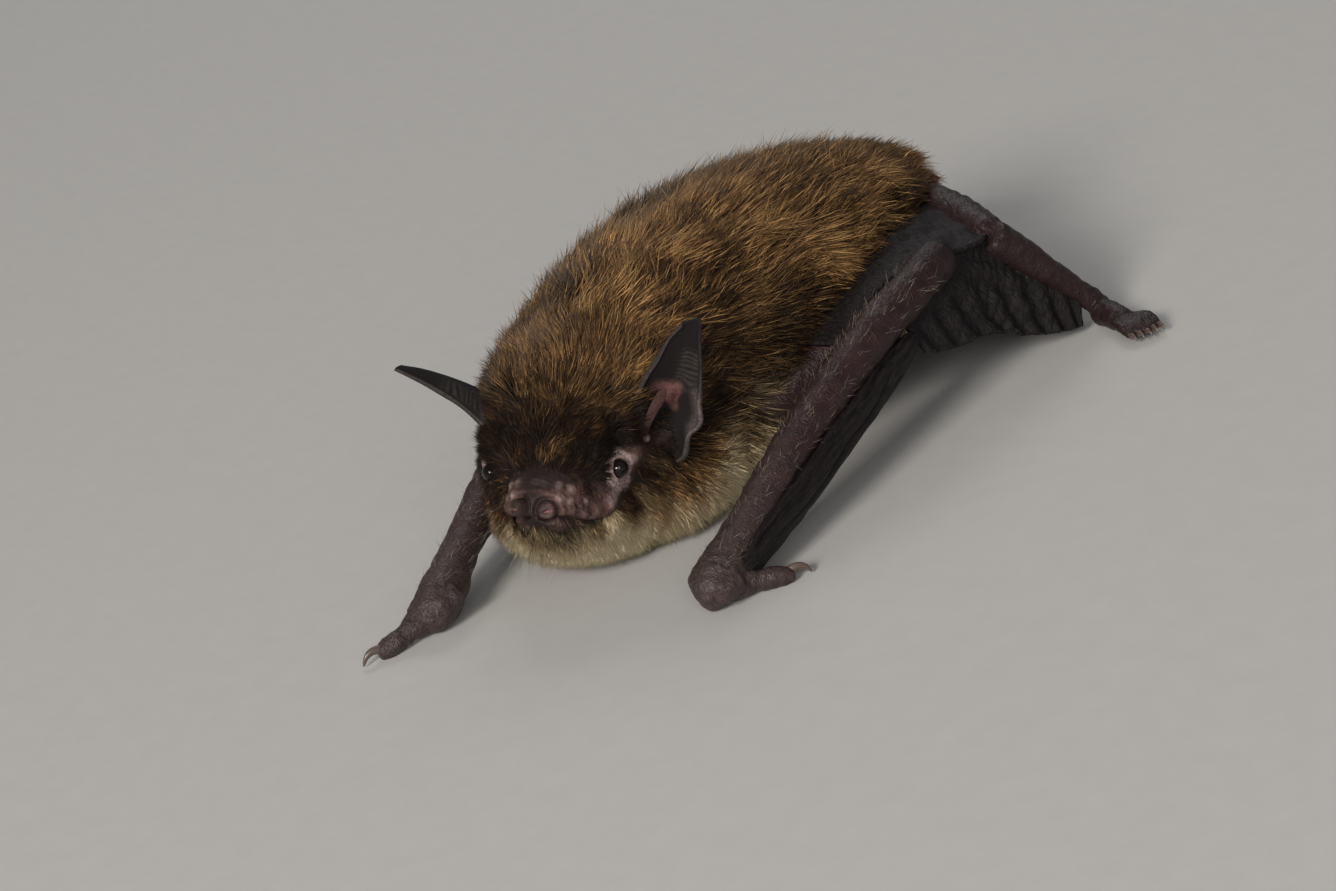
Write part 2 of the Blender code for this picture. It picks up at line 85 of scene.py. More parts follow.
def step(start, end, x):
    """0 before start and 1 after end, with 3t^2 - 2t^3 between them."""
    t = np.clip((np.asarray(x, float) - start) / (end - start), 0, 1)
    return t * t * (3 - 2 * t)


def waves(points, size, seed, count=7):
    """A soft noise about 0: the sum of n sines along random directions, divided by the root of n."""
    dice = np.random.default_rng(seed)
    turns = unit(dice.normal(size=(count, 3))) * dice.uniform(0.6, 1.7, (count, 1)) * 2 * math.pi / size
    return np.sin(points @ turns.T + dice.uniform(0, 6.28, count)).sum(-1) / math.sqrt(count)


def gap(points, place):
    """The distance from each point to a place."""
    return np.linalg.norm(points - place, axis=-1)


def bell(x, reach=1.0, power=2):
    """exp(-(x / reach)^power)."""
    return np.exp(-(x / reach) ** power)


def rounding(start, end):
    """sqrt((1 - (1 - a)^2)(1 - (1 - b)^2)), a and b held between 0 and 1: a round end at both ends."""
    near, far = (np.clip(1 - (1 - np.clip(t, 0, 1)) ** 2, 0, 1) for t in (start, end))
    return np.sqrt(near * far)


def along(a, b, t, rise=0.0):
    """The point a + (b - a)t, raised by rise."""
    return tuple(p + (q - p) * t + lifted for p, q, lifted in zip(a, b, (0.0, 0.0, rise)))


print("a spline through 0, 1 and 4, at its middle:", spline([(0,), (1,), (4,)], 0.5))


# %% [markdown]
# ## From arrays to meshes
#
# A surface is worked out as one array of points, a grid of rows by columns, and its faces as an array of
# index rows. Blender could take them one by one through bmesh, but foreach_set copies whole arrays at
# once, which matters for a coat of a million triangles. Several such shells are stacked into one mesh.

# %% Shells and meshes
NO_TRIANGLES = np.zeros((0, 3), int)


def side_by_side(*parts):
    """Numbers and arrays as the columns of one array."""
    return np.stack(np.broadcast_arrays(*parts), -1)


def grid_shell(points, marks=None, wrap=True):
    """Quads (i,j), (i,j+1), (i+1,j+1), (i+1,j) over a grid, and a fan to a middle point at each end."""
    rows, columns = points.shape[:2]
    i, j = np.arange(rows - 1)[:, None], np.arange(columns if wrap else columns - 1)[None]
    k, last = (j + 1) % columns, (rows - 1) * columns
    corners = (i * columns + j, i * columns + k, (i + 1) * columns + k, (i + 1) * columns + j)
    quads, flat, triangles = side_by_side(*corners).reshape(-1, 4), points.reshape(-1, 3), NO_TRIANGLES
    marks = {name: np.broadcast_to(value, (rows, columns)).reshape(-1)
             for name, value in (marks or {}).items()}
    if wrap:
        flat = np.vstack([flat, points[0].mean(0), points[-1].mean(0)])
        triangles = np.vstack([side_by_side(rows * columns, k[0], j[0]),
                               side_by_side(rows * columns + 1, last + j[0], last + k[0])])
        marks = {name: np.append(value, [value[0], value[-1]]) for name, value in marks.items()}
    return {"points": flat, "quads": quads, "triangles": triangles, "marks": marks}


def outwards(shell):
    """Turns a closed shell's faces round if its signed volume, the sum of a.(b x c)/6, is negative."""
    p, q = shell["points"] - shell["points"].mean(0), shell["quads"]
    a, b, c = np.vstack([q[:, [0, 1, 2]], q[:, [0, 2, 3]], shell["triangles"]]).T
    if dot(p[a], np.cross(p[b], p[c])).sum() < 0:
        shell["quads"], shell["triangles"] = q[:, ::-1], shell["triangles"][:, ::-1]
    return shell


def stacked(shells):
    """The points, quads and triangles of shells, one after another."""
    starts = np.cumsum([0] + [len(shell["points"]) for shell in shells])
    quads, triangles = (np.vstack([shell[kind] + start for shell, start in zip(shells, starts)])
                        for kind in ("quads", "triangles"))
    return np.vstack([shell["points"] for shell in shells]), quads, triangles


def added(name, data):
    """A new object in the scene."""
    made = bpy.data.objects.new(name, data)
    bpy.context.scene.collection.objects.link(made)
    return made


def put_mesh(name, shells, floor=True):
    """Stacks shells into one mesh object in metres, with each mark as an attribute of its points."""
    points, quads, triangles = stacked(shells)
    if floor:
        points[:, 2] = np.maximum(points[:, 2], 0.0)
    mesh = bpy.data.meshes.new(name)
    mesh.vertices.add(len(points))
    mesh.vertices.foreach_set("co", ((points - STANCE) * MM).ravel())
    mesh.loops.add(quads.size + triangles.size)
    mesh.loops.foreach_set("vertex_index", np.concatenate([quads.ravel(), triangles.ravel()]))
    mesh.polygons.add(len(quads) + len(triangles))
    starts = [np.arange(len(quads)) * 4, quads.size + np.arange(len(triangles)) * 3]
    mesh.polygons.foreach_set("loop_start", np.concatenate(starts))
    for mark in sorted({mark for shell in shells for mark in shell["marks"]}):
        values = [shell["marks"].get(mark, np.zeros(len(shell["points"]))) for shell in shells]
        mesh.attributes.new(mark, "FLOAT", "POINT").data.foreach_set("value", np.concatenate(values))
    mesh.update(calc_edges=True)
    mesh.shade_smooth()
    made = added(name, mesh)
    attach(made, "root")
    print(name, len(quads) * 2 + len(triangles), "triangles")
    return made


# %% [markdown]
# ## The body's slices
#
# The head, neck and trunk are one form, an egg with a muzzle. It could be sculpted, or lofted through
# slices. It is lofted, because the solids were made from the same slices, so skin and solid agree.
# Each slice is a superellipse: rounder than a box, and flatter below, where the bat lies on the floor.

# %% The coat's outer surface
# Centre x, y, z, half width, height above the centre, height below it, lean in degrees, squareness below.
BODY_STATIONS = [
    (4.95, -26.1, 8.4, 1.9, 1.6, 1.7, 9.0, 2.9), (4.55, -24.6, 8.3, 2.6, 2.2, 3.2, 9.0, 2.9),
    (4.05, -22.9, 8.4, 3.5, 3.1, 5.2, 9.0, 3.0), (3.3, -21.0, 8.7, 5.1, 4.5, 7.3, 9.0, 3.3),
    (2.2, -18.6, 9.2, 7.0, 6.2, 8.8, 9.0, 4.0), (1.3, -15.6, 9.9, 8.8, 7.7, 9.6, 8.0, 4.4),
    (0.8, -12.2, 10.4, 9.8, 8.7, 10.1, 5.0, 4.4), (0.5, -8.0, 10.8, 10.4, 9.7, 10.5, 2.0, 4.2),
    (0.2, -2.5, 11.1, 11.2, 10.5, 10.8, 0.0, 3.8), (0.0, 4.0, 11.2, 11.9, 10.8, 10.8, 0.0, 3.4),
    (0.0, 11.0, 11.0, 11.6, 10.4, 10.5, 0.0, 3.2), (0.0, 17.5, 10.9, 9.9, 9.2, 8.9, 0.0, 3.0),
    (0.0, 23.5, 10.7, 8.2, 7.3, 6.6, 0.0, 2.9), (0.0, 28.0, 10.5, 6.6, 5.7, 5.0, 0.0, 2.9),
    (0.0, 32.0, 10.2, 5.0, 4.5, 3.9, 0.0, 2.9)]
ROUND_NOSE, ROUND_RUMP, BACK_POWER = 0.05, 0.10, 2.2


def body_surface(share, angle, grow=0.0):
    """Centre + left w c|c|^(2/p - 1) + top h s|s|^(2/p - 1), c and s the cosine and sine of the angle."""
    share, angle = np.broadcast_arrays(np.asarray(share, float), np.asarray(angle, float))
    fine = np.linspace(0, 1, 400)
    tangent = unit(np.gradient(spline(BODY_STATIONS, fine)[:, :3], axis=0))
    forward = unit(np.stack([np.interp(share, fine, tangent[:, k]) for k in range(3)], -1))
    row = spline(BODY_STATIONS, share)
    side = unit(np.cross(forward, (0, 0, 1)))
    up = np.cross(side, forward)
    lean = np.radians(row[..., 6])[..., None]
    left, top = side * np.cos(lean) - up * np.sin(lean), up * np.cos(lean) + side * np.sin(lean)
    power = np.where(np.sin(angle) > 0, BACK_POWER, row[..., 7])
    across, over = (np.sign(wave) * abs(wave) ** (2 / power) for wave in (np.cos(angle), np.sin(angle)))
    closing = rounding(share / ROUND_NOSE, (1 - share) / ROUND_RUMP)
    height = np.where(over > 0, row[..., 4], row[..., 5]) * closing + grow * np.minimum(closing * 3, 1)
    width = row[..., 3] * closing + grow * np.minimum(closing * 3, 1)
    return row[..., :3] + left * (width * across)[..., None] + top * (height * over)[..., None]


print("slices from nose to rump:", len(BODY_STATIONS))

# %% [markdown]
# ## The bare skin of the body
#
# Under its coat the bat is slimmer than it looks. The skin lies about two millimetres deep on the back
# and comes to the surface on the muzzle and round the eyes, which are bare. The depth is a table along
# the body, one column for the back, one for the side and one for the belly, blended round a slice.

# %% How deep the skin lies
# Depth under the coat's tips at equal steps from nose to rump: back, side, belly.
COAT_DEPTH = [(0.03, 0.02, 0.3), (0.08, 0.04, 0.8), (0.35, 0.10, 1.1), (0.9, 0.75, 1.3), (1.5, 1.35, 1.5),
              (2.0, 1.8, 1.5), (2.2, 1.9, 1.5), (2.2, 1.9, 1.5), (2.0, 1.7, 1.4), (1.5, 1.2, 1.2),
              (0.8, 0.8, 0.8)]


def coat_depth(share, angle):
    """The table's three columns weighted by sin^2 above, cos^2 at the side and sin^2 below."""
    back, side, belly = (spline(COAT_DEPTH, share)[..., k] for k in range(3))
    rise = np.sin(angle)
    above, below = np.where(rise > 0, rise**2, 0), np.where(rise < 0, rise**2, 0)
    return back * above + side * (1 - rise**2) + belly * below


def lay_of_skin(share, angle, nudge=0.003):
    """The skin's point, unit vectors out of it and tailwards, the pull down its slope, and the area."""
    here, ahead, around = (
        body_surface(s, a, -coat_depth(s, a))
        for s, a in ((share, angle), (share + nudge, angle), (share, angle + nudge)))
    ahead, around = ahead - here, around - here
    cross = np.cross(ahead, around)
    normal = unit(cross)
    normal *= np.sign(dot(normal, here - spline(BODY_STATIONS, share)[..., :3]))
    down = normal * normal[..., 2:] - (0, 0, 1)
    return here, normal, unit(ahead), down, np.linalg.norm(cross, axis=-1) / nudge**2


# The eyes: share of the length, degrees up from the side, how deep they sit, and their radius.
EYE_SHARE, EYE_ANGLE, EYE_DEPTH, EYE_RADIUS = 0.224, 13.0, 0.30, 0.72
EARS = {
    "left": {"base": (7.2, -13.4, 8.8), "tip": (14.4, -13.5, 18.9), "facing": (0.55, -0.80, -0.15),
             "spread": 0.86},
    "right": {"base": (-1.4, -16.0, 10.1), "tip": (-7.0, -23.1, 19.4), "facing": (-0.50, -0.52, -0.38),
              "spread": 1.05}}
# The share of each ear's height where its opening has its middle.
EAR_MOUTH = {"left": 0.22, "right": 0.36}


def ear_mouth(label):
    """The middle of the opening at an ear's foot: a point of its axis, moved out the way the ear faces."""
    base, tip, facing = (np.array(EARS[label][key]) for key in ("base", "tip", "facing"))
    return base + (tip - base) * EAR_MOUTH[label] + unit(facing) * 1.3


SIDES = {"left": LEFT, "right": RIGHT}
# The joints of the limbs, where the solids have them.
SHOULDER = {LEFT: (8.0, -5.0, 5.8), RIGHT: (-8.0, -7.0, 5.8)}
ELBOW = {LEFT: (16.0, 13.4, 11.8), RIGHT: (-15.2, 7.2, 10.2)}
WRIST = {LEFT: (17.7, -22.6, 1.97), RIGHT: (-5.2, -29.0, 1.97)}
HIP = {LEFT: (5.0, 27.0, 10.6), RIGHT: (-5.0, 27.0, 10.6)}
KNEE = {LEFT: (16.4, 20.4, 10.7), RIGHT: (-16.4, 20.9, 10.2)}
ANKLE = {LEFT: (19.4, 27.6, 1.65), RIGHT: (-19.8, 29.6, 1.65)}
TOES = {LEFT: (27.3, 23.6, 0.35), RIGHT: (-27.0, 33.2, 0.35)}
THUMB_TIP = {LEFT: (20.9, -18.2, 0.55), RIGHT: (-7.0, -33.6, 0.55)}


def on_body(share, degrees, side=LEFT, grow=0.0):
    """A point of the coat's surface, counted up from the side of the head on either side."""
    angle = np.radians(degrees if side == LEFT else 180 - degrees)
    return body_surface(np.array([share]), np.array([angle]), grow)[0]


# The middle of each eyeball, a little under the coat's surface.
eyes = {label: on_body(EYE_SHARE, EYE_ANGLE, side, -EYE_DEPTH) for label, side in SIDES.items()}
print("between the eyes:", round(float(gap(eyes["left"], eyes["right"])), 1), "mm")

# %% [markdown]
# ## The relief of the face
#
# A mouse-eared bat has a blunt nose with two nostrils on small cushions, a furrow between them, swollen
# glands along the muzzle, a lip that overhangs the mouth and a rim of lid round each eye. Sculpting them
# by hand would be one way. Here each is a small hill or pit, a bell curve of the distance from its
# middle, and all of them are added together along the surface's own direction.

# %% Hills, pits and folds of the face
# Share of the length, degrees up from the side, height and reach in millimetres: first the glands, which
# are pale as well, then the other hills, and the furrows, whose height is less than nothing.
GLANDS = 8
FACE_FORMS = [
    (0.097, 56, 0.26, 0.40), (0.110, 37, 0.26, 0.42), (0.060, 40, 0.20, 0.38), (0.082, 22, 0.18, 0.34),
    (0.126, 6, 0.15, 0.28), (0.075, 6, 0.15, 0.34), (0.112, -2, 0.15, 0.34), (0.148, -3, 0.16, 0.40),
    (0.182, -2, 0.16, 0.45), (0.215, 42, 0.30, 0.90), (0.100, 84, 0.20, 0.45), (0.262, 12, 0.38, 1.10),
    (0.103, 46, -0.24, 0.17), (0.160, 18, -0.42, 0.75), (0.096, 8, -0.14, 0.18), (0.130, -3, -0.14, 0.18),
    (0.172, 34, -0.22, 0.50), (0.150, 62, -0.16, 0.40)]
# Lids and folds round the eye: height, distance from its middle, and reach.
EYE_RIMS = [(0.16, 0.74, 0.12), (-0.07, 1.02, 0.14), (0.06, 1.25, 0.15), (-0.07, 1.6, 0.22)]
NOSTRIL = (0.0150, 36)
# The share of the length where the face's relief ends, and how far the ear's hollow sinks and spreads.
FACE_END, EAR_HOLLOW = 0.34, 1.7
# The line of the mouth: shares of the length, and degrees up from the side of the head.
MOUTH = ((0.0, 0.02, 0.078, 0.131, 0.170, 0.20), (6.0, 3.4, -4.5, -11.3, -12.4, -8.8))


def side_height(angle):
    """Degrees above the side of the body: -90 under the belly and 90 on the back, on either side."""
    return np.degrees(np.arcsin(np.clip(np.sin(angle), -1, 1)))


def above_mouth(points, share, angle):
    """Millimetres above the line of the mouth, measured round the head: angle times radius."""
    radius = gap(points, spline(BODY_STATIONS, share)[..., :3])
    return np.radians(side_height(angle) - np.interp(share, *MOUTH)) * radius


def face_relief(points, share, angle):
    """The sum of h exp(-(d/r)^2) over hills and pits, less the groove of the mouth and the eye sockets."""
    rise = np.zeros(points.shape[:-1])
    for side in SIDES.values():
        for s, degrees, height, reach in FACE_FORMS:
            rise += height * bell(gap(points, on_body(s, degrees, side)), reach)
        nostril = on_body(*NOSTRIL, side)
        away = gap(points, nostril)
        outer = step(-0.6, 0.3, np.cos(angle) * side) * 0.6 + 0.4
        rise += 0.55 * bell(away, 0.66, 4) - 0.38 * outer * bell(away - 0.95, 0.18)
        slit = np.linalg.norm((points - nostril + (0, 0, 0.10)) / (0.28, 0.4, 0.13), axis=-1)
        rise += 0.05 * bell(away - 0.50, 0.14) - 0.62 * bell(slit, 1, 4)
    above, mouth = above_mouth(points, share, angle), step(0.215, 0.17, share)
    bumps = 0.5 + 0.5 * np.cos(2 * math.pi * share / 0.036)
    rise += 0.022 * waves(points, 0.6, 9) * step(0.24, 0.19, share)
    rise += mouth * (0.15 + 0.07 * bumps) * step(0.02, 0.06, share) * bell(above - 0.5, 0.34)
    rise += mouth * (0.06 * bell(above + 0.46, 0.24) - 0.50 * bell(above + 0.04, 0.13)
                     - 0.42 * step(0.05, -0.25, above))
    for centre in eyes.values():
        flat = np.sqrt(np.maximum(gap(points, centre) ** 2 - EYE_DEPTH**2, 0))
        rise -= bell(flat, 0.56, 6)
        for height, place, reach in EYE_RIMS:
            rise += height * bell(flat - place, reach)
    return rise


def body_skin(share, angle):
    """The coat's surface drawn in by the coat's depth, then raised and sunk by the face's relief."""
    share, angle = np.broadcast_arrays(np.asarray(share, float), np.asarray(angle, float))
    base, normal = lay_of_skin(share, angle, 0.004)[:2]
    rise = np.where(share < FACE_END, face_relief(base, share, angle), 0.0)
    for label in EARS:
        rise -= EAR_HOLLOW * bell(gap(base, ear_mouth(label)), EAR_HOLLOW, 4)
    return base + normal * rise[..., None]


# Rows stand close together on the head, up to the neck, and wide apart on the trunk.
NECK = 0.42
head_shares = NECK * np.linspace(0.012, 1, 150) ** 1.25
trunk_shares = NECK + (1 - NECK) * np.sin(np.linspace(0, math.pi / 2, 46)[1:-1]) ** 0.9
shares = np.concatenate([head_shares, trunk_shares])[:, None]
angles = np.linspace(0, 2 * math.pi, 180, endpoint=False)[None]
body_points = body_skin(shares, angles)
print("skin grid", body_points.shape[:2])

# %% [markdown]
# ## Where the skin is bare, and its colours
#
# The same regions steer three things: where hair grows, how long it is, and how the skin is coloured.
# They are worked out from places on the head, such as the distance from an eye, and not drawn on an image.
# Each becomes a number from 0 to 1 on every point of the mesh, which the material reads as an attribute.
# The dark mark also holds painted shade, in a furrow of the face, the ear's opening and the mouth's groove.

# %% Regions of the head and body
# Share of the length where the coat begins, at equal steps of height from the chin to the crown.
COAT_START = [(-0.03,), (-0.03,), (-0.02,), (0.050,), (0.225,), (0.195,), (0.118,), (0.076,), (0.060,)]
# How far the bare skin reaches from the middle of each eye.
EYE_RING = {"left": 1.6, "right": 0.9}
# Painted shade darkens the fur most in the hollow behind the left ear, beside the raised shoulder; this is
# its middle.
EAR_SHADE_MIDDLE = (10.2, -7.6, 11.5)


def coat_start(angle):
    """The share where the coat begins, at an angle round the head."""
    return spline(COAT_START, (side_height(angle) + 90) / 180)[..., 0]


def lift(marks, values):
    """Raises marks to the values wherever those are greater."""
    np.maximum(marks, values, out=marks)


def segment_distance(points, a, b):
    """Distance from points to the nearest point of the line from a to b."""
    a, b = np.array(a, float), np.array(b, float)
    t = np.clip(((points - a) @ (b - a)) / ((b - a) @ (b - a)), 0, 1)
    return gap(points, a + t[..., None] * (b - a))


def hip_distance(points):
    """Millimetres from the nearer thigh, from the hip to the knee."""
    return np.minimum(*[segment_distance(points, HIP[side], KNEE[side]) for side in SIDES.values()])


def bareness(points, share, angle):
    """1 on naked skin and 0 in full coat, from the muzzle's edge, the eye rings, ears and hips."""
    start = coat_start(angle)
    start = start - (start - 0.035) * 0.6 * step(0.0, -0.5, np.cos(angle))
    bare = step(start + 0.035, start - 0.03, share + 0.02 * waves(points, 2.4, 3))
    lift(bare, step(-0.68, -0.38, above_mouth(points, share, angle)) * step(0.15, 0.11, share))
    for label, ring in EYE_RING.items():
        lift(bare, step(ring + 0.5, ring - 0.3, gap(points, eyes[label])))
        lift(bare, 0.7 * step(1.3, 0.5, segment_distance(points, eyes[label], ear_mouth(label))))
        lift(bare, step(2.5, 1.7, gap(points, ear_mouth(label))))
    lift(bare, step(4.4, 3.2, hip_distance(points) + 0.5 * waves(points, 3.0, 4)))
    return bare


def duskiness(points, share, angle):
    """1 where the hair is darkest: darker hair over the brows and from each eye to the ear, painted shade
    beside the wings and behind the left ear.
    """
    height = side_height(angle)
    dusk = np.interp(share, (0.14, 0.20, 0.25, 0.32), (0.45, 0.9, 0.85, 0.0)) * step(18, 34, height)
    for label in EARS:
        lift(dusk, step(3.2, 1.7, segment_distance(points, eyes[label], ear_mouth(label))))
    # Painted shade on the low fur beside the folded wings, and in the hollow behind the left ear.
    lift(dusk, 0.85 * step(32, 6, height) * step(0.46, 0.56, share))
    lift(dusk, step(7.5, 3.0, gap(points, EAR_SHADE_MIDDLE)))
    return dusk


def paleness(points, angle, share):
    """1 on throat and belly and 0 on the back, with a wavering edge, higher on the cheeks than behind."""
    edge = np.interp(share, (0.0, 0.12, 0.22, 0.30, 0.50), (-12, -16, -16, -11, -10))
    strength = np.interp(share, (0.03, 0.08, 0.18, 0.86, 0.94), (0.3, 0.6, 1.0, 1.0, 0.2))
    return strength * step(edge + 11, edge - 11, side_height(angle) + 6 * waves(points, 4.0, 5))


def head_marks(points, share, angle):
    """The marks of the skin: bare, pale, pink, dark and belly, each from 0 to 1."""
    bare, ripple = bareness(points, share, angle), 0.25 * waves(points, 1.2, 8)
    pale, pink, dark = np.zeros((3, *bare.shape))
    for label, side in SIDES.items():
        away = gap(points, eyes[label])
        lift(pale, 0.95 * step(1.75, 1.3, away + ripple))
        lift(pale, 0.95 * step(1.5, 0.6, gap(points, on_body(0.205, -2, side)) + ripple))
        # Painted shade in the deep furrow between the muzzle's glands and the eye.
        lift(dark, 0.82 * step(1.5, 0.4, gap(points, on_body(0.160, 20, side))) * (1 - pale))
        lift(dark, step(0.84, 0.70, away))
        hole = points - on_body(*NOSTRIL, side) + (0, 0, 0.12)
        # A pale rim round each nostril, dimmer on the right one as painted shade on the side turned from
        # the lamps.
        lift(pale, 0.5 * step(0.72, 0.5, gap(hole, 0)) * (1.0 if side == LEFT else 0.35))
        lift(pink, step(0.40, 0.15, gap(hole * (1, 1, 1.8), 0)))
        # Painted shade in the hollow of the ear's opening.
        lift(dark, 0.92 * step(2.6, 1.5, gap(points, ear_mouth(label))))
        for s, degrees, _, reach in FACE_FORMS[:GLANDS]:
            lift(pale, 0.70 * bell(gap(points, on_body(s, degrees, side)), 0.75 * reach))
    lift(dark, 0.78 * step(1.9, 1.4, gap(points, on_body(0.004, 90))) * (1 - pale) * (1 - pink))
    above, height = above_mouth(points, share, angle), side_height(angle)
    # Painted shade in the mouth's groove, and under the overhanging upper lip.
    lift(dark, 0.85 * bell(above + 0.04, 0.13) * step(0.215, 0.17, share))
    lift(dark, 0.45 * step(-0.1, -0.3, above) * step(0.2, 0.16, share))
    lift(dark, 0.85 * step(4.6, 3.4, hip_distance(points)))
    brow = step(0.5, 1.0, share / np.maximum(coat_start(angle), 0.02))
    lift(dark, 0.8 * brow * step(20, 40, height) * (1 - pale))
    behind = step(1.7, 2.3, np.minimum(*[gap(points, eye) for eye in eyes.values()]))
    lift(dark, 0.6 * behind * step(0.19, 0.23, share) * (1 - pale))
    return {"bare": bare, "pale": pale, "pink": pink, "dark": dark, "belly": paleness(points, angle, share)}


body_marks = head_marks(body_points, shares, angles)
body_shell = outwards(grid_shell(body_points, {**body_marks, "along": 60 * shares, "around": 9 * angles}))
print("bare part of the skin grid:", round(float(body_marks["bare"].mean()), 3))

# %% [markdown]
# ## The ears
#
# Each ear is a thin cup on a stem, with a blunt tip, about ten fine curved folds across its inner face and
# a wavy hind rim. It could be a plane bent by modifiers; here it is a grid of arcs across a straight line,
# opened wide at the tip and curled at the root, so the fold lines are simply sines of two parameters.

# %% Ears with their folds
# Half width and curl in degrees, at equal steps from foot to tip.
EAR_PROFILE = [(2.0, 95), (2.7, 80), (2.95, 62), (2.5, 48), (1.9, 38), (1.35, 28), (0.72, 22)]
# The ear's thickness, how far its middle bends forwards (less than 0 is backwards), and how many folds
# its whole height would hold.
EAR_THICKNESS, EAR_BEND, EAR_FOLDS = 0.46, -0.8, 26.0
# The tragus from foot to tip: share of the ear's height, millimetres inwards, forwards, and half its width.
TRAGUS = [(0.05, 1.2, 1.7, 0.30), (0.18, 1.2, 1.6, 0.28), (0.30, 1.05, 1.4, 0.36), (0.41, 0.75, 1.1, 0.40),
          (0.48, 0.55, 0.9, 0.20)]
EAR_LOBE = [(0.07, 1.1, 1.75, 0.34), (0.13, 0.95, 1.75, 0.34)]


def ear_middle(base, tip, facing, spread, rows, columns):
    """Arcs of radius w / sin(curl) across the line from base to tip, cupped towards the facing side."""
    base, tip = np.array(base), np.array(tip)
    axis = unit(tip - base)
    front = unit(np.array(facing) - axis * np.dot(facing, axis))
    height, place = np.linspace(0, 1, rows)[:, None], np.linspace(-1, 1, columns)[None]
    half_width, curl = (spline(EAR_PROFILE, height)[..., k] for k in (0, 1))
    wavy = np.clip(place, 0, 1) * np.sin(26 * height) * step(0.55, 0.2, height)
    arc = np.radians(curl) * place
    radius = half_width * spread * (1 + 0.10 * wavy) / np.sin(np.minimum(np.radians(curl), math.pi / 2))
    grid = base + (tip - base) * height[..., None]
    grid = grid + front * (EAR_BEND * np.sin(math.pi * height))[..., None]
    grid = grid + np.cross(axis, front) * (radius * np.sin(arc))[..., None]
    grid = grid + front * (radius * (1 - np.cos(arc)))[..., None]
    return grid + axis * (0.45 * place * step(0.80, 1.0, height))[..., None], height, place, front


def thick_shell(middle, thickness, marks, rise=0.0, facing=None):
    """Two copies of a grid, half the thickness each way along its normals, joined by a wall at the rim.

    The rise moves the face that looks the facing way, or both faces where no facing is given."""
    normal = unit(np.cross(np.gradient(middle, axis=0), np.gradient(middle, axis=1)))
    rows, columns = middle.shape[:2]
    half, rise = (np.broadcast_to(value, (rows, columns))[..., None] for value in (thickness / 2, rise))
    if facing is not None and (normal.reshape(-1, 3) @ facing).mean() < 0:
        normal = -normal
    front = middle + normal * (half + rise)
    back = middle - normal * (half if facing is not None else half - rise)
    one = grid_shell(front, wrap=False)["quads"]
    i, j = np.arange(rows), np.arange(columns)
    rim = np.concatenate([j, i[1:] * columns + columns - 1, (rows - 1) * columns + j[-2::-1],
                          i[-2:0:-1] * columns])
    after = np.roll(rim, -1)
    wall = np.stack([after, rim, rim + rows * columns, after + rows * columns], -1)
    marks = {name: np.tile(np.broadcast_to(value, (rows, columns)).ravel(), 2)
             for name, value in marks.items()}
    return outwards({"points": np.vstack([front.reshape(-1, 3), back.reshape(-1, 3)]),
                     "quads": np.vstack([one, one[:, ::-1] + rows * columns, wall]),
                     "triangles": NO_TRIANGLES, "marks": marks})


def ear_shell(label):
    """The ear's sheet: ribs are sin 2 pi(nt + drift) in a window of the hind half, thin at the rims."""
    middle, height, place, front = ear_middle(**EARS[label], rows=170, columns=50)
    window = (step(0.38, 0.46, height) * step(0.80, 0.70, height)
              * step(-0.15, 0.25, place) * step(0.98, 0.80, place))
    drift = 0.55 * waves(middle, 3.0, 23) + 1.1 * place**2 - 1.6 * place
    fold = np.sin(2 * math.pi * (EAR_FOLDS * height + drift)) * window
    fold *= 0.7 + 0.3 * waves(middle, 1.5, 24)
    edge = np.maximum(abs(place), step(0.8, 1.0, height))
    thinning = (0.62 + 0.38 * (1 - edge**3)) * np.interp(height, (0, 0.5, 1), (1.2, 1.0, 0.75))
    rim = step(0.86, 0.97, abs(place)) * step(0.1, 0.25, height)
    patch = step(0.27, 0.36, height + 0.06 * waves(middle, 2.0, 25)) * step(0.50, 0.42, height)
    root = step(0.34, 0.20, height + 0.10 * abs(place)) * step(0.85, 0.6, abs(place))
    fore = step(0.95, 0.6, height) * step(0.0, -0.6, place) * step(-0.98, -0.85, place)
    hind = step(0.55, 0.9, place) * step(0.14, 0.22, height) * step(0.52, 0.40, height)
    ribs = 0.22 * window * (0.5 + 0.5 * fold) + 0.25 * step(0.95, 1.0, abs(place))
    # The dark root and dark front of the ear are painted shade. The pale crests of the ribs and the pale
    # rims are painted highlights; the lower hind fold is paler too.
    marks = {"ear": 1.0, "bare": 1.0, "dark": root + 0.55 * fore, "pale": np.clip(ribs + 0.45 * hind, 0, 1),
             "pink": 0.75 * patch * step(-0.75, -0.5, place) * step(0.40, 0.20, place),
             "along": 12 * height, "around": 3 * place}
    relief = 0.10 * fold + 0.10 * rim + 0.08 * waves(middle, 4.0, 21)
    return thick_shell(middle, EAR_THICKNESS * thinning, marks, relief, front)


def round_tube(table, around=32, count=60, flat=1.0, up=(0, 0, 1), ends=(0.1, 0.1), relief=None,
               marks=None):
    """Rings of radius r(t) across a smooth path, wider by flat across than along up, with round ends."""
    share = 0.5 - 0.5 * np.cos(np.linspace(0.06, math.pi - 0.06, count))
    row = spline(table, share)
    tangent = unit(np.gradient(row[:, :3], axis=0))
    side = unit(np.cross(tangent, np.broadcast_to(np.asarray(up, float), tangent.shape)))
    over = np.cross(side, tangent)
    angle = np.linspace(0, 2 * math.pi, around, endpoint=False)[None]
    closing = rounding(share / ends[0], (1 - share) / ends[1])
    radius = (row[:, 3] * closing)[:, None] * (1 + (relief(share[:, None], angle) if relief else 0 * angle))
    ring = side[:, None] * (np.cos(angle) * flat)[..., None] + over[:, None] * np.sin(angle)[..., None]
    length = gap(row[1:, :3], row[:-1, :3]).sum()
    marks = {"along": length * share[:, None], "around": row[:, 3:4] * angle, "bare": 1.0, **(marks or {})}
    return outwards(grid_shell(row[:, None, :3] + ring * radius[..., None], marks))


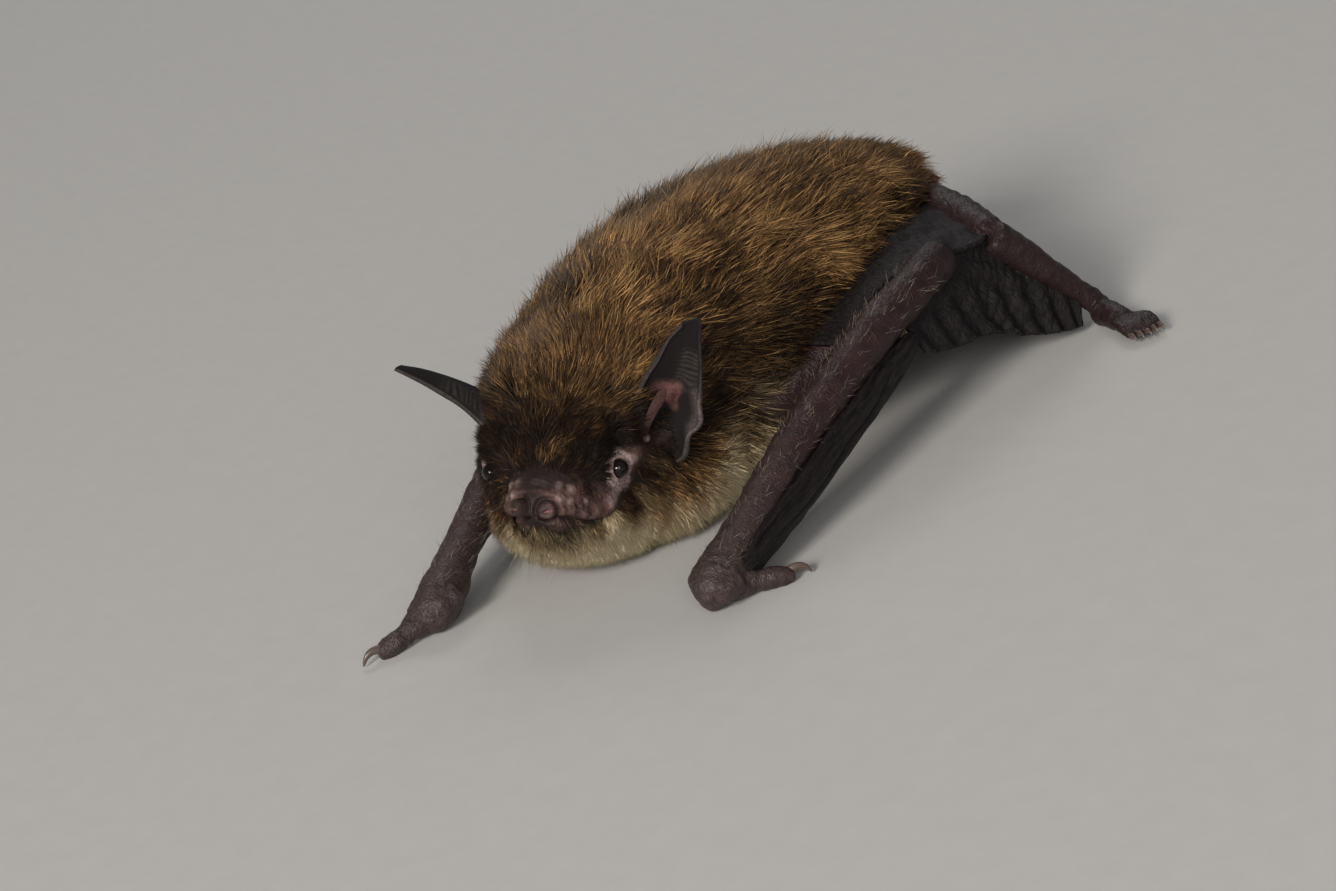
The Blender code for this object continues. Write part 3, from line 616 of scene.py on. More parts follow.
def tragus_shells(label):
    """A flat blade in front of the ear's mouth, three times as wide as thick, and the lobe at its foot."""
    pose = EARS[label]
    base, facing = np.array(pose["base"]), unit(np.array(pose["facing"]))
    blade = np.array(pose["tip"]) - base
    inner = unit(np.cross(facing, blade))
    leaf, lobe = ([(*(base + blade * t + inner * a + facing * out), r) for t, a, out, r in rows]
                  for rows in (TRAGUS, EAR_LOBE))
    return [round_tube(leaf, around=28, count=36, flat=0.3, up=inner, ends=(0.1, 0.2),
                       marks={"ear": 1.0, "pink": 0.34, "dark": 0.25}),
            round_tube(lobe, around=16, count=14, ends=(0.5, 0.5),
                       marks={"ear": 1.0, "pink": 0.15, "pale": 1.0})]


ear_shells = [ear_shell(label) for label in EARS]
ear_shells += [shell for label in EARS for shell in tragus_shells(label)]
print("ear points:", sum(len(shell["points"]) for shell in ear_shells))

# %% [markdown]
# ## Arms, legs and tail as one flowing skin
#
# A limb is a chain of tubes: upper arm, forearm, the knob of the wrist, thumb. Laid into each other they
# would show a hard line at every joint. Booleans keep that line, and modelling the joints by hand is slow.
# So the tubes are sunk into each other and a voxel Remesh wraps them in one net of small squares, which a
# Smooth modifier then relaxes, so that tendon runs into knuckle as under real skin.

# %% Joints and the tubes between them
# How far the forearm bows upwards, and the radius of the ball of the wrist.
FOREARM_BOW, BALL = 1.4, 1.85


def chain(a, b, *rows):
    """Rows of x, y, z, radius on the line from a to b, given as share of the way, rise, radius."""
    return [(*along(a, b, t, rise), radius) for t, rise, radius in rows]


def beside(place, *rows):
    """Rows of x, y, z, radius near a place, given as three offsets and a radius."""
    return [(*(p + offset for p, offset in zip(place, row)), row[3]) for row in rows]


def arm_tubes(side):
    """Tables of x, y, z, radius: forearm bowed upwards, upper arm, thumb, and the knobs of the wrist."""
    elbow, wrist, shoulder, thumb = ELBOW[side], WRIST[side], SHOULDER[side], THUMB_TIP[side]
    bow, out, start = FOREARM_BOW, side * 0.9, along(wrist, thumb, 0.08)
    forearm = chain(elbow, wrist, (-0.03, 0.0, 1.45), (0.02, 0.1, 1.75), (0.10, 0.4, 1.72),
                    (0.3, 0.9 * bow, 1.86), (0.6, bow, 1.66), (0.85, 0.5 * bow, 1.55), (0.97, 0.1, 1.85),
                    (1.02, 0.0, 1.5))
    upper = chain(shoulder, elbow, (0.0, 0, 2.2), (0.35, 0, 2.0), (0.7, 0, 1.7), (1.0, 0, 1.6))
    pollex = chain(start, thumb, (0.0, 0.0, 1.15), (0.3, 0.05, 1.0), (0.55, -0.1, 0.82), (0.8, 0.0, 0.88),
                   (1.0, 0.0, 0.7), (1.1, 0.0, 0.5))
    return [forearm, upper, pollex,
            beside(wrist, (-out, -0.9, 0.1, 1.0), (-out, 1.6, 0.5, 1.2)),
            beside(wrist, (out, -1.1, -0.3, 1.1), (1.4 * out, 1.2, 0.1, 1.2)),
            beside(wrist, (0, -1.2, -0.6, 1.2), (0.4 * out, 2.4, -0.6, 1.1)),
            beside(wrist, (0.8 * out, 0.6, -0.9, 0.9)) + chain(start, thumb, (0.42, -0.25, 0.85)),
            beside(wrist, (0, -1.8, 0.05, BALL), (0, 0, 0.05, BALL))
            + chain(wrist, elbow, (0.06, 0.0, 0.96 * BALL), (0.15, 0.0, 0.75 * BALL))]


def toe_tables(side):
    """Five toes side by side ahead of the sole: start, bend and tip, each a row of x, y, z, radius."""
    sole_end = np.array(along(ANKLE[side], TOES[side], 0.5, -0.1))
    ahead = unit((np.array(TOES[side]) - sole_end) * (1, 1, 0))
    sideways = np.array((-ahead[1], ahead[0], 0.0))
    tables = []
    for k in range(5):
        spread = (k - 2) * 0.62
        start = sole_end - ahead * 0.6 + sideways * spread * 0.8
        bend = start + ahead * (2.4 - 0.1 * abs(k - 2)) + sideways * spread * 0.25 + (0, 0, 0.25)
        middle, tip = start + (bend - start) * 0.5 + (0, 0, 0.12), bend + ahead * 1.2 + (0, 0, -0.5)
        tables.append([(*start, 0.5), (*middle, 0.42), (*bend, 0.47), (*tip, 0.36)])
    return tables, ahead


def leg_tubes(side):
    """Thigh, shin narrowing to the ankle, heel, sole and toes."""
    hip, knee, ankle, toes = HIP[side], KNEE[side], ANKLE[side], TOES[side]
    return [chain(hip, knee, (0.0, 0, 2.3), (0.5, 0.3, 2.0), (1.02, 0, 1.5)),
            chain(knee, ankle, (-0.04, 0, 1.25), (0.05, 0, 1.5), (0.45, 0, 1.28), (0.8, 0, 0.98),
                  (1.0, 0, 1.1)),
            chain(ankle, toes, (-0.06, -0.3, 1.0), (0.2, -0.3, 1.1)),
            chain(ankle, toes, (0.0, -0.6, 1.15), (0.25, -0.3, 1.12), (0.5, -0.1, 0.95)),
            *toe_tables(side)[0]]


# Rows of x, y, z, radius: down behind the rump, then forwards under the belly.
TAIL = [(0, 29.8, 8.6, 1.15), (0, 32.6, 6.4, 1.0), (0, 33.6, 3.4, 0.95), (0, 31.6, 1.2, 0.9),
        (0.4, 27.0, 0.8, 0.85), (1.0, 21.5, 0.78, 0.8), (1.2, 16.0, 0.75, 0.6)]
limb_tables = [TAIL]
for side in SIDES.values():
    limb_tables += arm_tubes(side) + leg_tubes(side)
print("tubes in the limbs:", len(limb_tables))

# %% Wrap the tubes in one skin
VOXEL, AXIS_POINTS = 0.19, 48


def wrapped(shells, voxel, rounds):
    """A voxel remesh of closed shells, relaxed: its points, its quads and the directions out of it."""
    points, quads, triangles = stacked(shells)
    mesh = bpy.data.meshes.new("wrap")
    mesh.from_pydata(points.tolist(), [], quads.tolist() + triangles.tolist())
    made = added("wrap", mesh)
    remesh = made.modifiers.new("Remesh", "REMESH")
    remesh.mode, remesh.voxel_size = "VOXEL", voxel
    relax = made.modifiers.new("Relax", "SMOOTH")
    relax.factor, relax.iterations = 0.5, rounds
    done = made.evaluated_get(bpy.context.evaluated_depsgraph_get()).to_mesh()
    out, normals = np.empty((2, len(done.vertices) * 3))
    corners = np.empty(len(done.loops), int)
    done.vertices.foreach_get("co", out)
    done.vertices.foreach_get("normal", normals)
    done.loops.foreach_get("vertex_index", corners)
    bpy.data.objects.remove(made)
    bpy.data.meshes.remove(mesh)
    return out.reshape(-1, 3), corners.reshape(-1, 4), normals.reshape(-1, 3)


def limb_place(points, tables):
    """Of the axis nearest to each point: millimetres along it, millimetres round it, and its number."""
    axes = [spline(table, np.linspace(0, 1, AXIS_POINTS)) for table in tables]
    tangents = np.vstack([unit(np.gradient(axis[:, :3], axis=0)) for axis in axes])
    lengths = np.concatenate([np.append(0, np.cumsum(gap(axis[1:, :3], axis[:-1, :3]))) for axis in axes])
    kinds, every = np.repeat(np.arange(len(tables)), AXIS_POINTS), np.vstack(axes)
    nearest = np.concatenate([np.argmin(gap(block[:, None], every[:, :3]) - every[:, 3], axis=1)
                              for block in np.array_split(points, max(1, len(points) // 2000))])
    away, heading = points - every[nearest, :3], tangents[nearest]
    side = unit(np.cross(heading, (0.2, 0.1, 1.0)))
    turn = np.arctan2(dot(away, np.cross(side, heading))[:, 0], dot(away, side)[:, 0])
    return lengths[nearest] + dot(away, heading)[:, 0], turn * every[nearest, 3], kinds[nearest]


limb_points, limb_quads, limb_normals = wrapped(
    [round_tube(table, around=20, count=36, ends=(0.5, 0.3) if table[0][3] == BALL else (0.08, 0.08))
     for table in limb_tables], VOXEL, 6)
limb_along, limb_around, limb_kind = limb_place(limb_points, limb_tables)
print("limb skin:", len(limb_quads) * 2, "triangles")

# %% Tendons, creases and colours of the limbs
def arm_share(points):
    """How far from the elbow to the wrist each point lies, on the nearer arm."""
    ends = [(np.array(ELBOW[side]), np.array(WRIST[side])) for side in SIDES.values()]
    shares = [(points - a) @ (b - a) / ((b - a) @ (b - a)) for a, b in ends]
    near_left, near_right = (segment_distance(points, a, b) for a, b in ends)
    return np.where(near_left < near_right, *shares)


arm_count, leg_count = len(arm_tubes(LEFT)), len(leg_tubes(LEFT))
tube = (limb_kind - 1) % (arm_count + leg_count)
is_forearm, is_leg = (limb_kind > 0) & (tube == 0), (limb_kind > 0) & (tube >= arm_count)
down_arm = arm_share(limb_points)
shaft = np.where(is_forearm, step(-0.02, 0.08, down_arm) * step(1.0, 0.90, down_arm), 0.0)
hand = np.where(is_leg, 0.0, step(0.88, 1.0, down_arm))
lumps = 0.045 * waves(limb_points, 2.6, 31) + (0.03 - 0.02 * shaft) * waves(limb_points, 1.1, 32)
pebbles = 0.035 * hand * waves(limb_points, 0.7, 33)
tendon = 0.06 * shaft * np.cos(2 * limb_around / 1.7 + 0.05 * limb_along)
limb_points = limb_points + limb_normals * (lumps + pebbles + tendon)[:, None]
everywhere = np.ones(len(limb_points))
limb_shell = {
    "points": limb_points, "quads": limb_quads, "triangles": NO_TRIANGLES,
    "marks": {"bare": everywhere, "limb": everywhere, "along": limb_along, "around": limb_around,
              "low": np.where(is_leg, 0.1, step(0.55, 1.0, down_arm)),
              "dark": np.where(is_leg, 0.35, 0.5 * step(0.35, -0.05, down_arm))}}
skin = put_mesh("skin", [body_shell, limb_shell] + ear_shells)
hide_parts("head", "neck", "trunk", "tail", *[
    part + "_" + label for label in SIDES
    for part in ("ear", "tragus", "upper_arm", "forearm", "wrist", "thumb", "thigh", "shin", "foot")])

# %% [markdown]
# ## The folded wing
#
# A resting bat folds its long fingers back under the forearm like the ribs of a shut umbrella, and the
# wing's skin lies between them in deep lengthwise pleats. What is left of the wing hangs as a wrinkled
# curtain from the elbow to the leg, with others along the flank and between leg and tail. A cloth
# simulation could drape it, but living skin is held by its own muscles, so the pleats are sines laid
# across each sheet.

# %% Pleated bundles and curtains
MEMBRANE_THICKNESS = 0.35
# Height and width of the wrinkles, from the slack folds to the finest.
WRINKLES = ((0.16, 2.6), (0.09, 1.2), (0.05, 0.6))
# Share of the way from wrist to elbow, sideways and downward offset, and radius of the folded fingers.
FOLDED_FINGERS = [(0.03, 1.2, 0.3, 1.15), (0.18, 1.35, 0.5, 1.3), (0.38, 1.3, 0.85, 1.42),
                  (0.56, 1.25, 1.15, 1.38), (0.7, 1.3, 1.35, 1.15), (0.82, 1.3, 1.5, 0.7)]


def pleat_relief(share, angle):
    """Ridges |sin(n a)|, sharp in the furrows, that wander slowly round the bundle, and small wrinkles."""
    wander = angle + 0.35 * np.sin(5 * share) + 0.12 * np.sin(23 * share)
    ridge = abs(np.sin(3.5 * wander)) ** 0.7 - 0.6
    fine = 0.035 * np.sin(11 * wander + 9 * share) + 0.03 * np.sin(60 * share + 4 * np.sin(3 * angle))
    return 0.26 * ridge * np.clip(8 * share, 0.2, 1) + fine


def finger_bundle(side):
    """A flattened tube that follows the forearm from the wrist, with the pleats as its relief."""
    elbow, wrist = ELBOW[side], WRIST[side]
    table = [(*(np.array(along(wrist, elbow, share)) + (side * out, 0, -drop)), radius)
             for share, out, drop, radius in FOLDED_FINGERS]
    return round_tube(table, around=140, count=130, flat=0.8, ends=(0.06, 0.1), relief=pleat_relief)


def curtain(first_edge, last_edge, rows, columns, bulge=(0, 0, 0), pleats=0, depth=0.0, seed=1):
    """Straight lines between two edges, swollen by sin sin, pleated by sin(2 pi n u), then wrinkled."""
    v, u = np.linspace(0, 1, rows)[:, None], np.linspace(0, 1, columns)[None]
    first, last = spline(first_edge, u), spline(last_edge, u)
    grid = first * (1 - v[..., None]) + last * v[..., None]
    grid = grid + (np.sin(math.pi * v) * np.sin(math.pi * u))[..., None] * np.array(bulge, float)
    normal = unit(np.cross(np.gradient(grid, axis=0), np.gradient(grid, axis=1)))
    fold = depth * np.sin(2 * math.pi * pleats * u + 0.9 * np.sin(3 * v)) * v
    sag = sum(size * waves(grid, width, seed + k) for k, (size, width) in enumerate(WRINKLES))
    grid = grid + normal * (fold + sag * np.sin(math.pi * np.clip(u, 0.02, 0.98)))[..., None]
    return thick_shell(grid, MEMBRANE_THICKNESS, {"along": 20 * v, "around": 26 * u, "bare": 1.0})


def wing_shells(side):
    """The bundle, the curtain below the elbow, the flank's web and the tail's web of one side."""
    elbow, wrist, knee, ankle = ELBOW[side], WRIST[side], KNEE[side], ANKLE[side]

    def off(place, out, back, height):
        """A point outwards and backwards from a place, at a height above the floor."""
        return place[0] + side * out, place[1] + back, height

    origin, level = (0.0, 0.0), (0.0, elbow[1])
    top = [along(elbow, wrist, 0.2, FOREARM_BOW * 0.6), along(elbow, wrist, 0.08, 0.3),
           *(along(elbow, knee, t) for t in (0.15, 0.85)), *(along(knee, ankle, t) for t in (0.4, 0.8))]
    low = [off(elbow, 1.9, -6.6, elbow[2] - 5.0), off(elbow, 1.6, -2.4, elbow[2] - 6.4),
           off(elbow, 1.5, 2.4, elbow[2] - 7.4), off(knee, 1.6, -1.0, 2.6), off(ankle, -0.9, -4.6, 1.2),
           off(ankle, -0.1, -2.6, 0.8)]
    inner = [off(level, 9.6, -12.0, 10.0), off(level, 9.0, -6.0, 12.2), off(level, 8.0, 1.0, 13.6),
             off(origin, 5.6, 21.5, 13.4), off(origin, 4.2, 25.8, 12.3)]
    outer = [off(elbow, -1.4, -12.0, 10.0), off(elbow, -0.8, -6.0, 12.4), along(elbow, knee, 0.05, 0.3),
             along(elbow, knee, 0.9, 0.2), off(origin, 9.5, 24.8, 12.2)]
    tail_edge = [off(origin, *row) for row in
                 ((0.6, 30.0, 8.4), (0.7, 32.7, 6.0), (0.7, 33.6, 3.4), (0.7, 32.6, 1.4))]
    leg_edge = [off(origin, 9.0, 25.6, 9.4), off(knee, -1.2, 2.2, 7.6), off(ankle, -1.8, -1.2, 4.4),
                off(ankle, -1.5, 0.4, 1.2)]
    seed = 40 if side == LEFT else 60
    return [finger_bundle(side),
            curtain(top, low, 44, 120, pleats=8, depth=0.34, seed=seed),
            curtain(inner, outer, 30, 90, seed=seed + 5),
            curtain(tail_edge, leg_edge, 60, 44, bulge=(0, 1.5, -0.6), pleats=5, depth=0.2, seed=seed + 9)]


wing = put_mesh("wing_skin", wing_shells(LEFT) + wing_shells(RIGHT))
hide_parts(*[part + "_" + label for label in SIDES
                    for part in ("fingers", "wing_membrane", "flank_membrane", "tail_membrane")])

# %% [markdown]
# ## Eyes and claws
#
# The eyes are small, dark and wet. A ball would do from afar, but the clear window bulges a little over
# the iris, and that is what makes the one bright spark. The claws are hooked cones of horn on each thumb
# and toe. Both stay separate pieces, because they are harder and shinier than the skin round them.

# %% Eyeballs with a bulging window
def eyeball(centre, outward):
    """A ball of radius R(1 + 0.06 exp(-(v/0.6)^2)), v being the angle from the outward axis."""
    across = unit(np.cross(outward, (0, 0, 1)))
    upward = np.cross(across, outward)
    v = np.linspace(0.02, math.pi - 0.02, 36)[:, None]
    turn = np.linspace(0, 2 * math.pi, 48, endpoint=False)[None]
    radius = EYE_RADIUS * (1 + 0.06 * bell(v, 0.6))
    points = centre + radius[..., None] * (
        (np.sin(v) * np.cos(turn))[..., None] * across + (np.sin(v) * np.sin(turn))[..., None] * upward
        + np.cos(v)[..., None] * outward)
    return outwards(grid_shell(points, {"pupil": step(0.62, 0.50, v), "rim": step(0.8, 1.0, v)}))


eyeballs = []
for label, side in SIDES.items():
    outward = unit(on_body(EYE_SHARE, EYE_ANGLE, side) - eyes[label])
    eyeballs.append(put_mesh("eyeball_" + label, [eyeball(eyes[label], outward)]))
    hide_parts("eye_" + label)


# %% Hooked claws
# Millimetres ahead of the tip of the thumb or toe, height above it, and radius.
THUMB_HOOK = [(-0.1, 0.12, 0.40), (0.5, 0.42, 0.36), (1.1, 0.42, 0.29), (1.6, 0.12, 0.20),
              (1.95, -0.4, 0.07)]
TOE_HOOK = [(-0.25, 0.02, 0.26), (0.15, 0.18, 0.24), (0.5, 0.12, 0.17), (0.8, -0.14, 0.05)]


def hook(tip, ahead, rows):
    """Rows of x, y, z, radius: the tip + the direction ahead times the distance + the height."""
    return [(*(tip + ahead * distance + (0, 0, height)), radius) for distance, height, radius in rows]


def claw_tables(side):
    """The thumb's claw, and a hook at the end of each toe."""
    thumb = np.array(THUMB_TIP[side])
    reach = unit(thumb - along(WRIST[side], THUMB_TIP[side], 0.12)) * (1, 1, 0)
    toes, ahead = toe_tables(side)
    return [hook(thumb, reach, THUMB_HOOK)] + [hook(np.array(toe[-1][:3]), ahead, TOE_HOOK) for toe in toes]


claws = put_mesh("claws", [
    round_tube(table, around=12, count=16, flat=0.75, ends=(0.1, 0.12), marks={"bare": 0.0})
    for side in SIDES.values() for table in claw_tables(side)])
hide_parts("thumb_claw_left", "thumb_claw_right")

# %% [markdown]
# ## The coat
#
# Fur could be particle hair, but that is lost when a model is exported. Here each tuft is a solid spike
# of three sides, rooted in the skin, thin as a few hairs stuck together, and bent back along the body.
# Neighbouring tufts lean towards the middle of the same lock, so the coat parts into wisps, and their
# colour runs from a dark root to a golden tip on the back and to buff on the throat and belly.

# %% Locks: neighbours that lean together
dice_table = np.random.default_rng(5).uniform(0, 1, (256, 256, 6))
print("random numbers for each lock:", dice_table.shape[-1])


def locks(a, b, size):
    """The nearest of many middles, one jittered in each cell of a grid: its offset and random numbers."""
    best = np.full(a.shape, np.inf)
    offset, numbers = np.zeros(a.shape + (2,)), np.zeros(a.shape + (4,))
    for i, j in np.ndindex(3, 3):
        i, j = np.floor(a / size) + i - 1, np.floor(b / size) + j - 1
        chance = dice_table[i.astype(int) % 256, j.astype(int) % 256]
        x, y = (i + chance[..., 0]) * size - a, (j + chance[..., 1]) * size - b
        closer = x * x + y * y < best
        best = np.where(closer, x * x + y * y, best)
        offset = np.where(closer[..., None], np.stack([x, y], -1), offset)
        numbers = np.where(closer[..., None], chance[..., 2:], numbers)
    return offset, numbers


# %% Tufts: three-sided spikes along a bent line
# Where the rings of a tuft stand along it, and how wide each is, for long hair and for short.
LONG_HAIR = ((0.0, 1.0), (0.38, 0.82), (0.74, 0.48))
SHORT_HAIR = ((0.0, 1.0), (0.55, 0.74))
# The width of one tuft's patch on its piece's map, which spans from 0 to 1.
PATCH = 0.003


def tuft_mesh(name, roots, first, last, length, width, flatness, marks, patch, rings=LONG_HAIR):
    """Each line is root + L(d0 t + (d1 - d0) t^2 / 2); its rings of three points shrink to a tip."""
    count, turns, places = len(roots), np.arange(3)[:, None] * 2 * math.pi / 3, []
    for t, share in rings:
        middle = roots + length[:, None] * (first * t + (last - first) * t * t / 2)
        heading = unit(first + (last - first) * t)
        across = unit(np.cross(heading, flatness))
        over = np.cross(across, heading)[:, None]
        half = (width * share / 2)[:, None, None]
        ring = across[:, None] * np.cos(turns) + 0.6 * over * np.sin(turns)
        places.append(middle[:, None] + half * ring)
    places.append((roots + length[:, None] * (first + last) / 2)[:, None])
    points = np.concatenate(places, axis=1)
    points[..., 2] = np.maximum(points[..., 2], 0.02)
    faces, final, size = [(2, 1, 0)], 3 * len(rings) - 3, 3 * len(rings) + 1
    for k, j in np.ndindex(len(rings) - 1, 3):
        a, b = 3 * k + j, 3 * k + (j + 1) % 3
        faces += [(a, b, b + 3), (a, b + 3, a + 3)]
    faces += [(final + j, final + (j + 1) % 3, final + 3) for j in range(3)]
    sample = points[0] - points[0].mean(0)
    volume = sum(np.dot(sample[a], np.cross(sample[b], sample[c])) for a, b, c in faces)
    faces = np.array(faces)[:, ::-1] if volume < 0 else np.array(faces)
    triangles = (faces[None] + size * np.arange(count)[:, None, None]).reshape(-1, 3)
    run = np.append(np.repeat([t for t, share in rings], 3), 1.0)
    spread = {"tip": np.tile(run, count), **{mark: np.repeat(value, size) for mark, value in marks.items()}}
    made = put_mesh(name, [{"points": points.reshape(-1, 3), "quads": np.zeros((0, 4), int),
                            "triangles": triangles, "marks": spread}], floor=False)
    flat = np.append(np.tile((-PATCH / 2, 0.0, PATCH / 2), len(rings)), 0.0)
    uv = patch[:, None] + np.stack([flat, (run - 0.5) * PATCH], -1)
    layer = made.data.uv_layers.new(name="OFBake")
    layer.data.foreach_set("uv", uv.reshape(-1, 2)[triangles.ravel()].ravel())
    return made


# %% [markdown]
# ## How the hair lies
#
# On the body hair points to the tail and sags down the sides. On the cheeks it turns down and back. Its
# length grows from under a millimetre at the edge of the bare face to about five on the shoulders.
# Roots are sown evenly over the skin's area: a random place in a region is kept with a chance that
# follows the area there, which is the length of the cross product of the two directions of the grid.

# %% Sow the roots
# The share of the hair that is left on bare skin.
STUBBLE = 0.20


def sow(count, start, end, low, high):
    """Random shares and angles in a region, kept with a chance in proportion to the skin's area."""
    tries = count * 6
    share, angle = rng.uniform(start, end, tries), np.radians(rng.uniform(low, high, tries))
    here, *_, area = lay_of_skin(share, angle)
    keep = area / np.percentile(area, 99) * (1 - (1 - STUBBLE) * bareness(here, share, angle))
    keep *= np.where(np.sin(angle) < -0.3, 1.0, step(0.03, 0.06, share))
    chosen = np.flatnonzero(rng.uniform(0, 1, tries) < keep)[:count]
    return share[chosen], angle[chosen]


# %% [markdown]
# ## Pieces of the coat
#
# The coat is cut into pieces by region, so that no piece grows heavy. Each row below is one piece: where
# it starts and ends along the body and round it, how many tufts it has, how long and wide they are, how
# full the coat stands over the skin and how far the tips lift. The tufts of the flanks are the longest.

# %% Comb the coat
# Name, share start and end, degrees round from the left side to start and end, tufts, length, width, how
# full the coat stands, lift of the tips in degrees, and the kind of hair.
COAT = [
    ("coat_brow_left", 0.05, 0.30, -20, 90, 14500, 2.2, 0.06, 1.15, 24, SHORT_HAIR),
    ("coat_brow_right", 0.03, 0.30, 90, 200, 10500, 2.2, 0.06, 1.15, 26, SHORT_HAIR),
    ("coat_crown_left", 0.29, 0.445, -14, 90, 11400, 3.7, 0.075, 1.0, 17, LONG_HAIR),
    ("coat_crown_right", 0.29, 0.445, 90, 194, 9500, 3.7, 0.085, 1.0, 17, SHORT_HAIR),
    ("coat_chin", 0.004, 0.30, 190, 350, 15000, 2.2, 0.06, 1.25, 26, SHORT_HAIR),
    ("coat_throat", 0.29, 0.48, 188, 352, 15000, 3.2, 0.075, 1.25, 22, SHORT_HAIR),
    ("coat_shoulder_left", 0.44, 0.62, -12, 90, 10800, 5.2, 0.095, 0.98, 12, LONG_HAIR),
    ("coat_shoulder_right", 0.44, 0.62, 90, 192, 8500, 5.2, 0.12, 0.98, 11, SHORT_HAIR),
    ("coat_flank_left", 0.615, 0.80, -12, 90, 10000, 5.4, 0.105, 0.95, 11, LONG_HAIR),
    ("coat_flank_right", 0.615, 0.80, 90, 192, 8500, 5.4, 0.12, 0.95, 10, SHORT_HAIR),
    ("coat_rump", 0.795, 0.99, -12, 192, 10000, 4.4, 0.12, 0.95, 5, SHORT_HAIR),
    ("coat_belly", 0.47, 0.985, 190, 350, 7000, 3.6, 0.15, 0.9, 6, SHORT_HAIR),
]
# No tuft is shorter, or reaches higher or farther back, than this.
SHORTEST, HIGHEST, HINDMOST = 0.38, 22.4, 34.9


def comb(name, start, end, low, high, count, length, width, fill, tips, rings):
    """One piece. The lift s0 at the root takes a tuft to the coat's surface: L(s0 + s1)/2 = depth."""
    share, angle = sow(count, start, end, low, high)
    here, normal, tailwards, down, _ = lay_of_skin(share, angle)
    count, depth = len(share), coat_depth(share, angle)
    girth, run = angle * 9.5, share * 62 * np.interp(share, (0, 0.4, 1), (0.6, 0.8, 1.0))
    (lock, chance), (wisp, small) = locks(run, girth, 2.3), locks(run + 40, girth + 17, 0.8)
    bare, belly, head = bareness(here, share, angle), paleness(here, angle, share), step(0.46, 0.34, share)

    sideways, cheek = np.cross(tailwards, normal), head * step(40, -25, side_height(angle))
    lean = 0.42 * (waves(here, 7.0, 71) + waves(here, 3.0, 72)) + (0.8 - 0.3 * head) * (chance[:, 0] - 0.5)
    droop = 0.30 + 1.6 * cheek + (0.9 + 1.4 * head) * belly + 0.8 * step(0.82, 1.0, share)
    lie = unit(tailwards + sideways * lean[:, None] + down * droop[:, None])

    near_ear = np.minimum(*[gap(here, ear_mouth(label)) for label in EARS])
    size = length * rng.uniform(0.68, 1.12, count) * (1 + 0.3 * (chance[:, 3] - 0.5))
    size *= (1 - 0.75 * bare) * np.interp(share, (0.0, 0.14, 0.28), (0.36, 0.52, 1.0)) ** (1 - 0.5 * belly)
    size *= (1 - 0.6 * step(4.2, 2.2, near_ear)) * np.interp(share, (0.84, 0.99), (1.0, 0.5))
    size = np.maximum(size, SHORTEST)

    tip_sine = np.sin(np.radians(tips + 22 * (chance[:, 2] - 0.5) + 9 * rng.normal(size=count)))
    root_sine = np.clip(2 * depth * fill / size - tip_sine, 0.22, 0.95)
    disorder = rng.normal(size=(count, 3)) * 0.11
    first, last = (lie * np.sqrt(1 - sine**2)[:, None] + normal * sine[:, None] + disorder
                   for sine in (root_sine, tip_sine))
    gather = 0.9 * (tailwards * lock[:, :1] - sideways * lock[:, 1:])
    gather += tailwards * wisp[:, :1] - sideways * wisp[:, 1:]
    first, last = unit(first), unit(last + gather * (0.6 / np.maximum(size, 1.5))[:, None])

    reach = (size[:, None] * (first + last) / 2)[:, 1:]
    room = np.array((HINDMOST, HIGHEST)) - here[:, 1:]
    share_left = np.clip(room / np.maximum(reach, 0.05), 0.25, 1).min(axis=1)
    size *= np.where((reach > room).any(axis=1), share_left, 1.0)

    tone = 0.6 * (chance[:, 0] - 0.5) + 0.5 * (small[:, 0] - 0.5) + 0.40 * rng.normal(size=count)
    tone += 0.26 * waves(here, 6.0, 77)
    # This mark darkens the hair: darker brows and eye-to-ear lines, and painted shade beside the wings and
    # behind the left ear.
    marks = {"tone": tone, "belly": belly, "bare": bare, "head": head,
             "shade": duskiness(here, share, angle)}
    thick = width * rng.uniform(0.65, 1.3, count) * np.clip(size / (0.6 * length), 0.45, 1.05)
    patch = np.stack([(share - start) / (end - start), (np.degrees(angle) - low) / (high - low)], -1)
    return tuft_mesh(name, here - normal * 0.06, first, last, size, thick, normal, marks,
                     0.98 * patch + 0.01, rings)


coat = [comb(*row) for row in COAT]
print("triangles in the coat:", sum(len(piece.data.polygons) for piece in coat))

# %% [markdown]
# ## Whiskers
#
# A few long pale hairs stand out from the muzzle and the chin, and a sparse down of short ones grows on
# the forearms. They are the same spikes as the coat's, only finer, and they catch the light one by one.

# %% Whiskers of the muzzle and down of the forearms
WHISKERS, WHISKER_WIDTH, ARM_HAIRS, ARM_HAIR_WIDTH = 70, 0.035, 900, 0.03


def whiskers():
    """Roots round the lips and chin; each whisker points forwards and out, then bends down."""
    share, height = rng.uniform(0.03, 0.13, WHISKERS), rng.uniform(-80, 8, WHISKERS)
    angle = np.radians(np.where(rng.uniform(0, 1, WHISKERS) < 0.5, height, 180 - height))
    here, normal, tailwards, *_ = lay_of_skin(share, angle)
    first = unit(normal - tailwards * 0.35 + rng.normal(size=(WHISKERS, 3)) * 0.25)
    last = unit(first + (0, 0, -0.45) + rng.normal(size=(WHISKERS, 3)) * 0.2)
    size = np.maximum(rng.uniform(1.6, 4.6, WHISKERS) * step(0.9, 0.5, share * 4), 1.2)
    patch = np.stack([share * 4, (height + 90) / 110], -1)
    marks = {"tone": rng.normal(size=WHISKERS) * 0.3}
    return tuft_mesh("whiskers", here, first, last, size, np.full(WHISKERS, WHISKER_WIDTH), normal,
                     marks, patch)


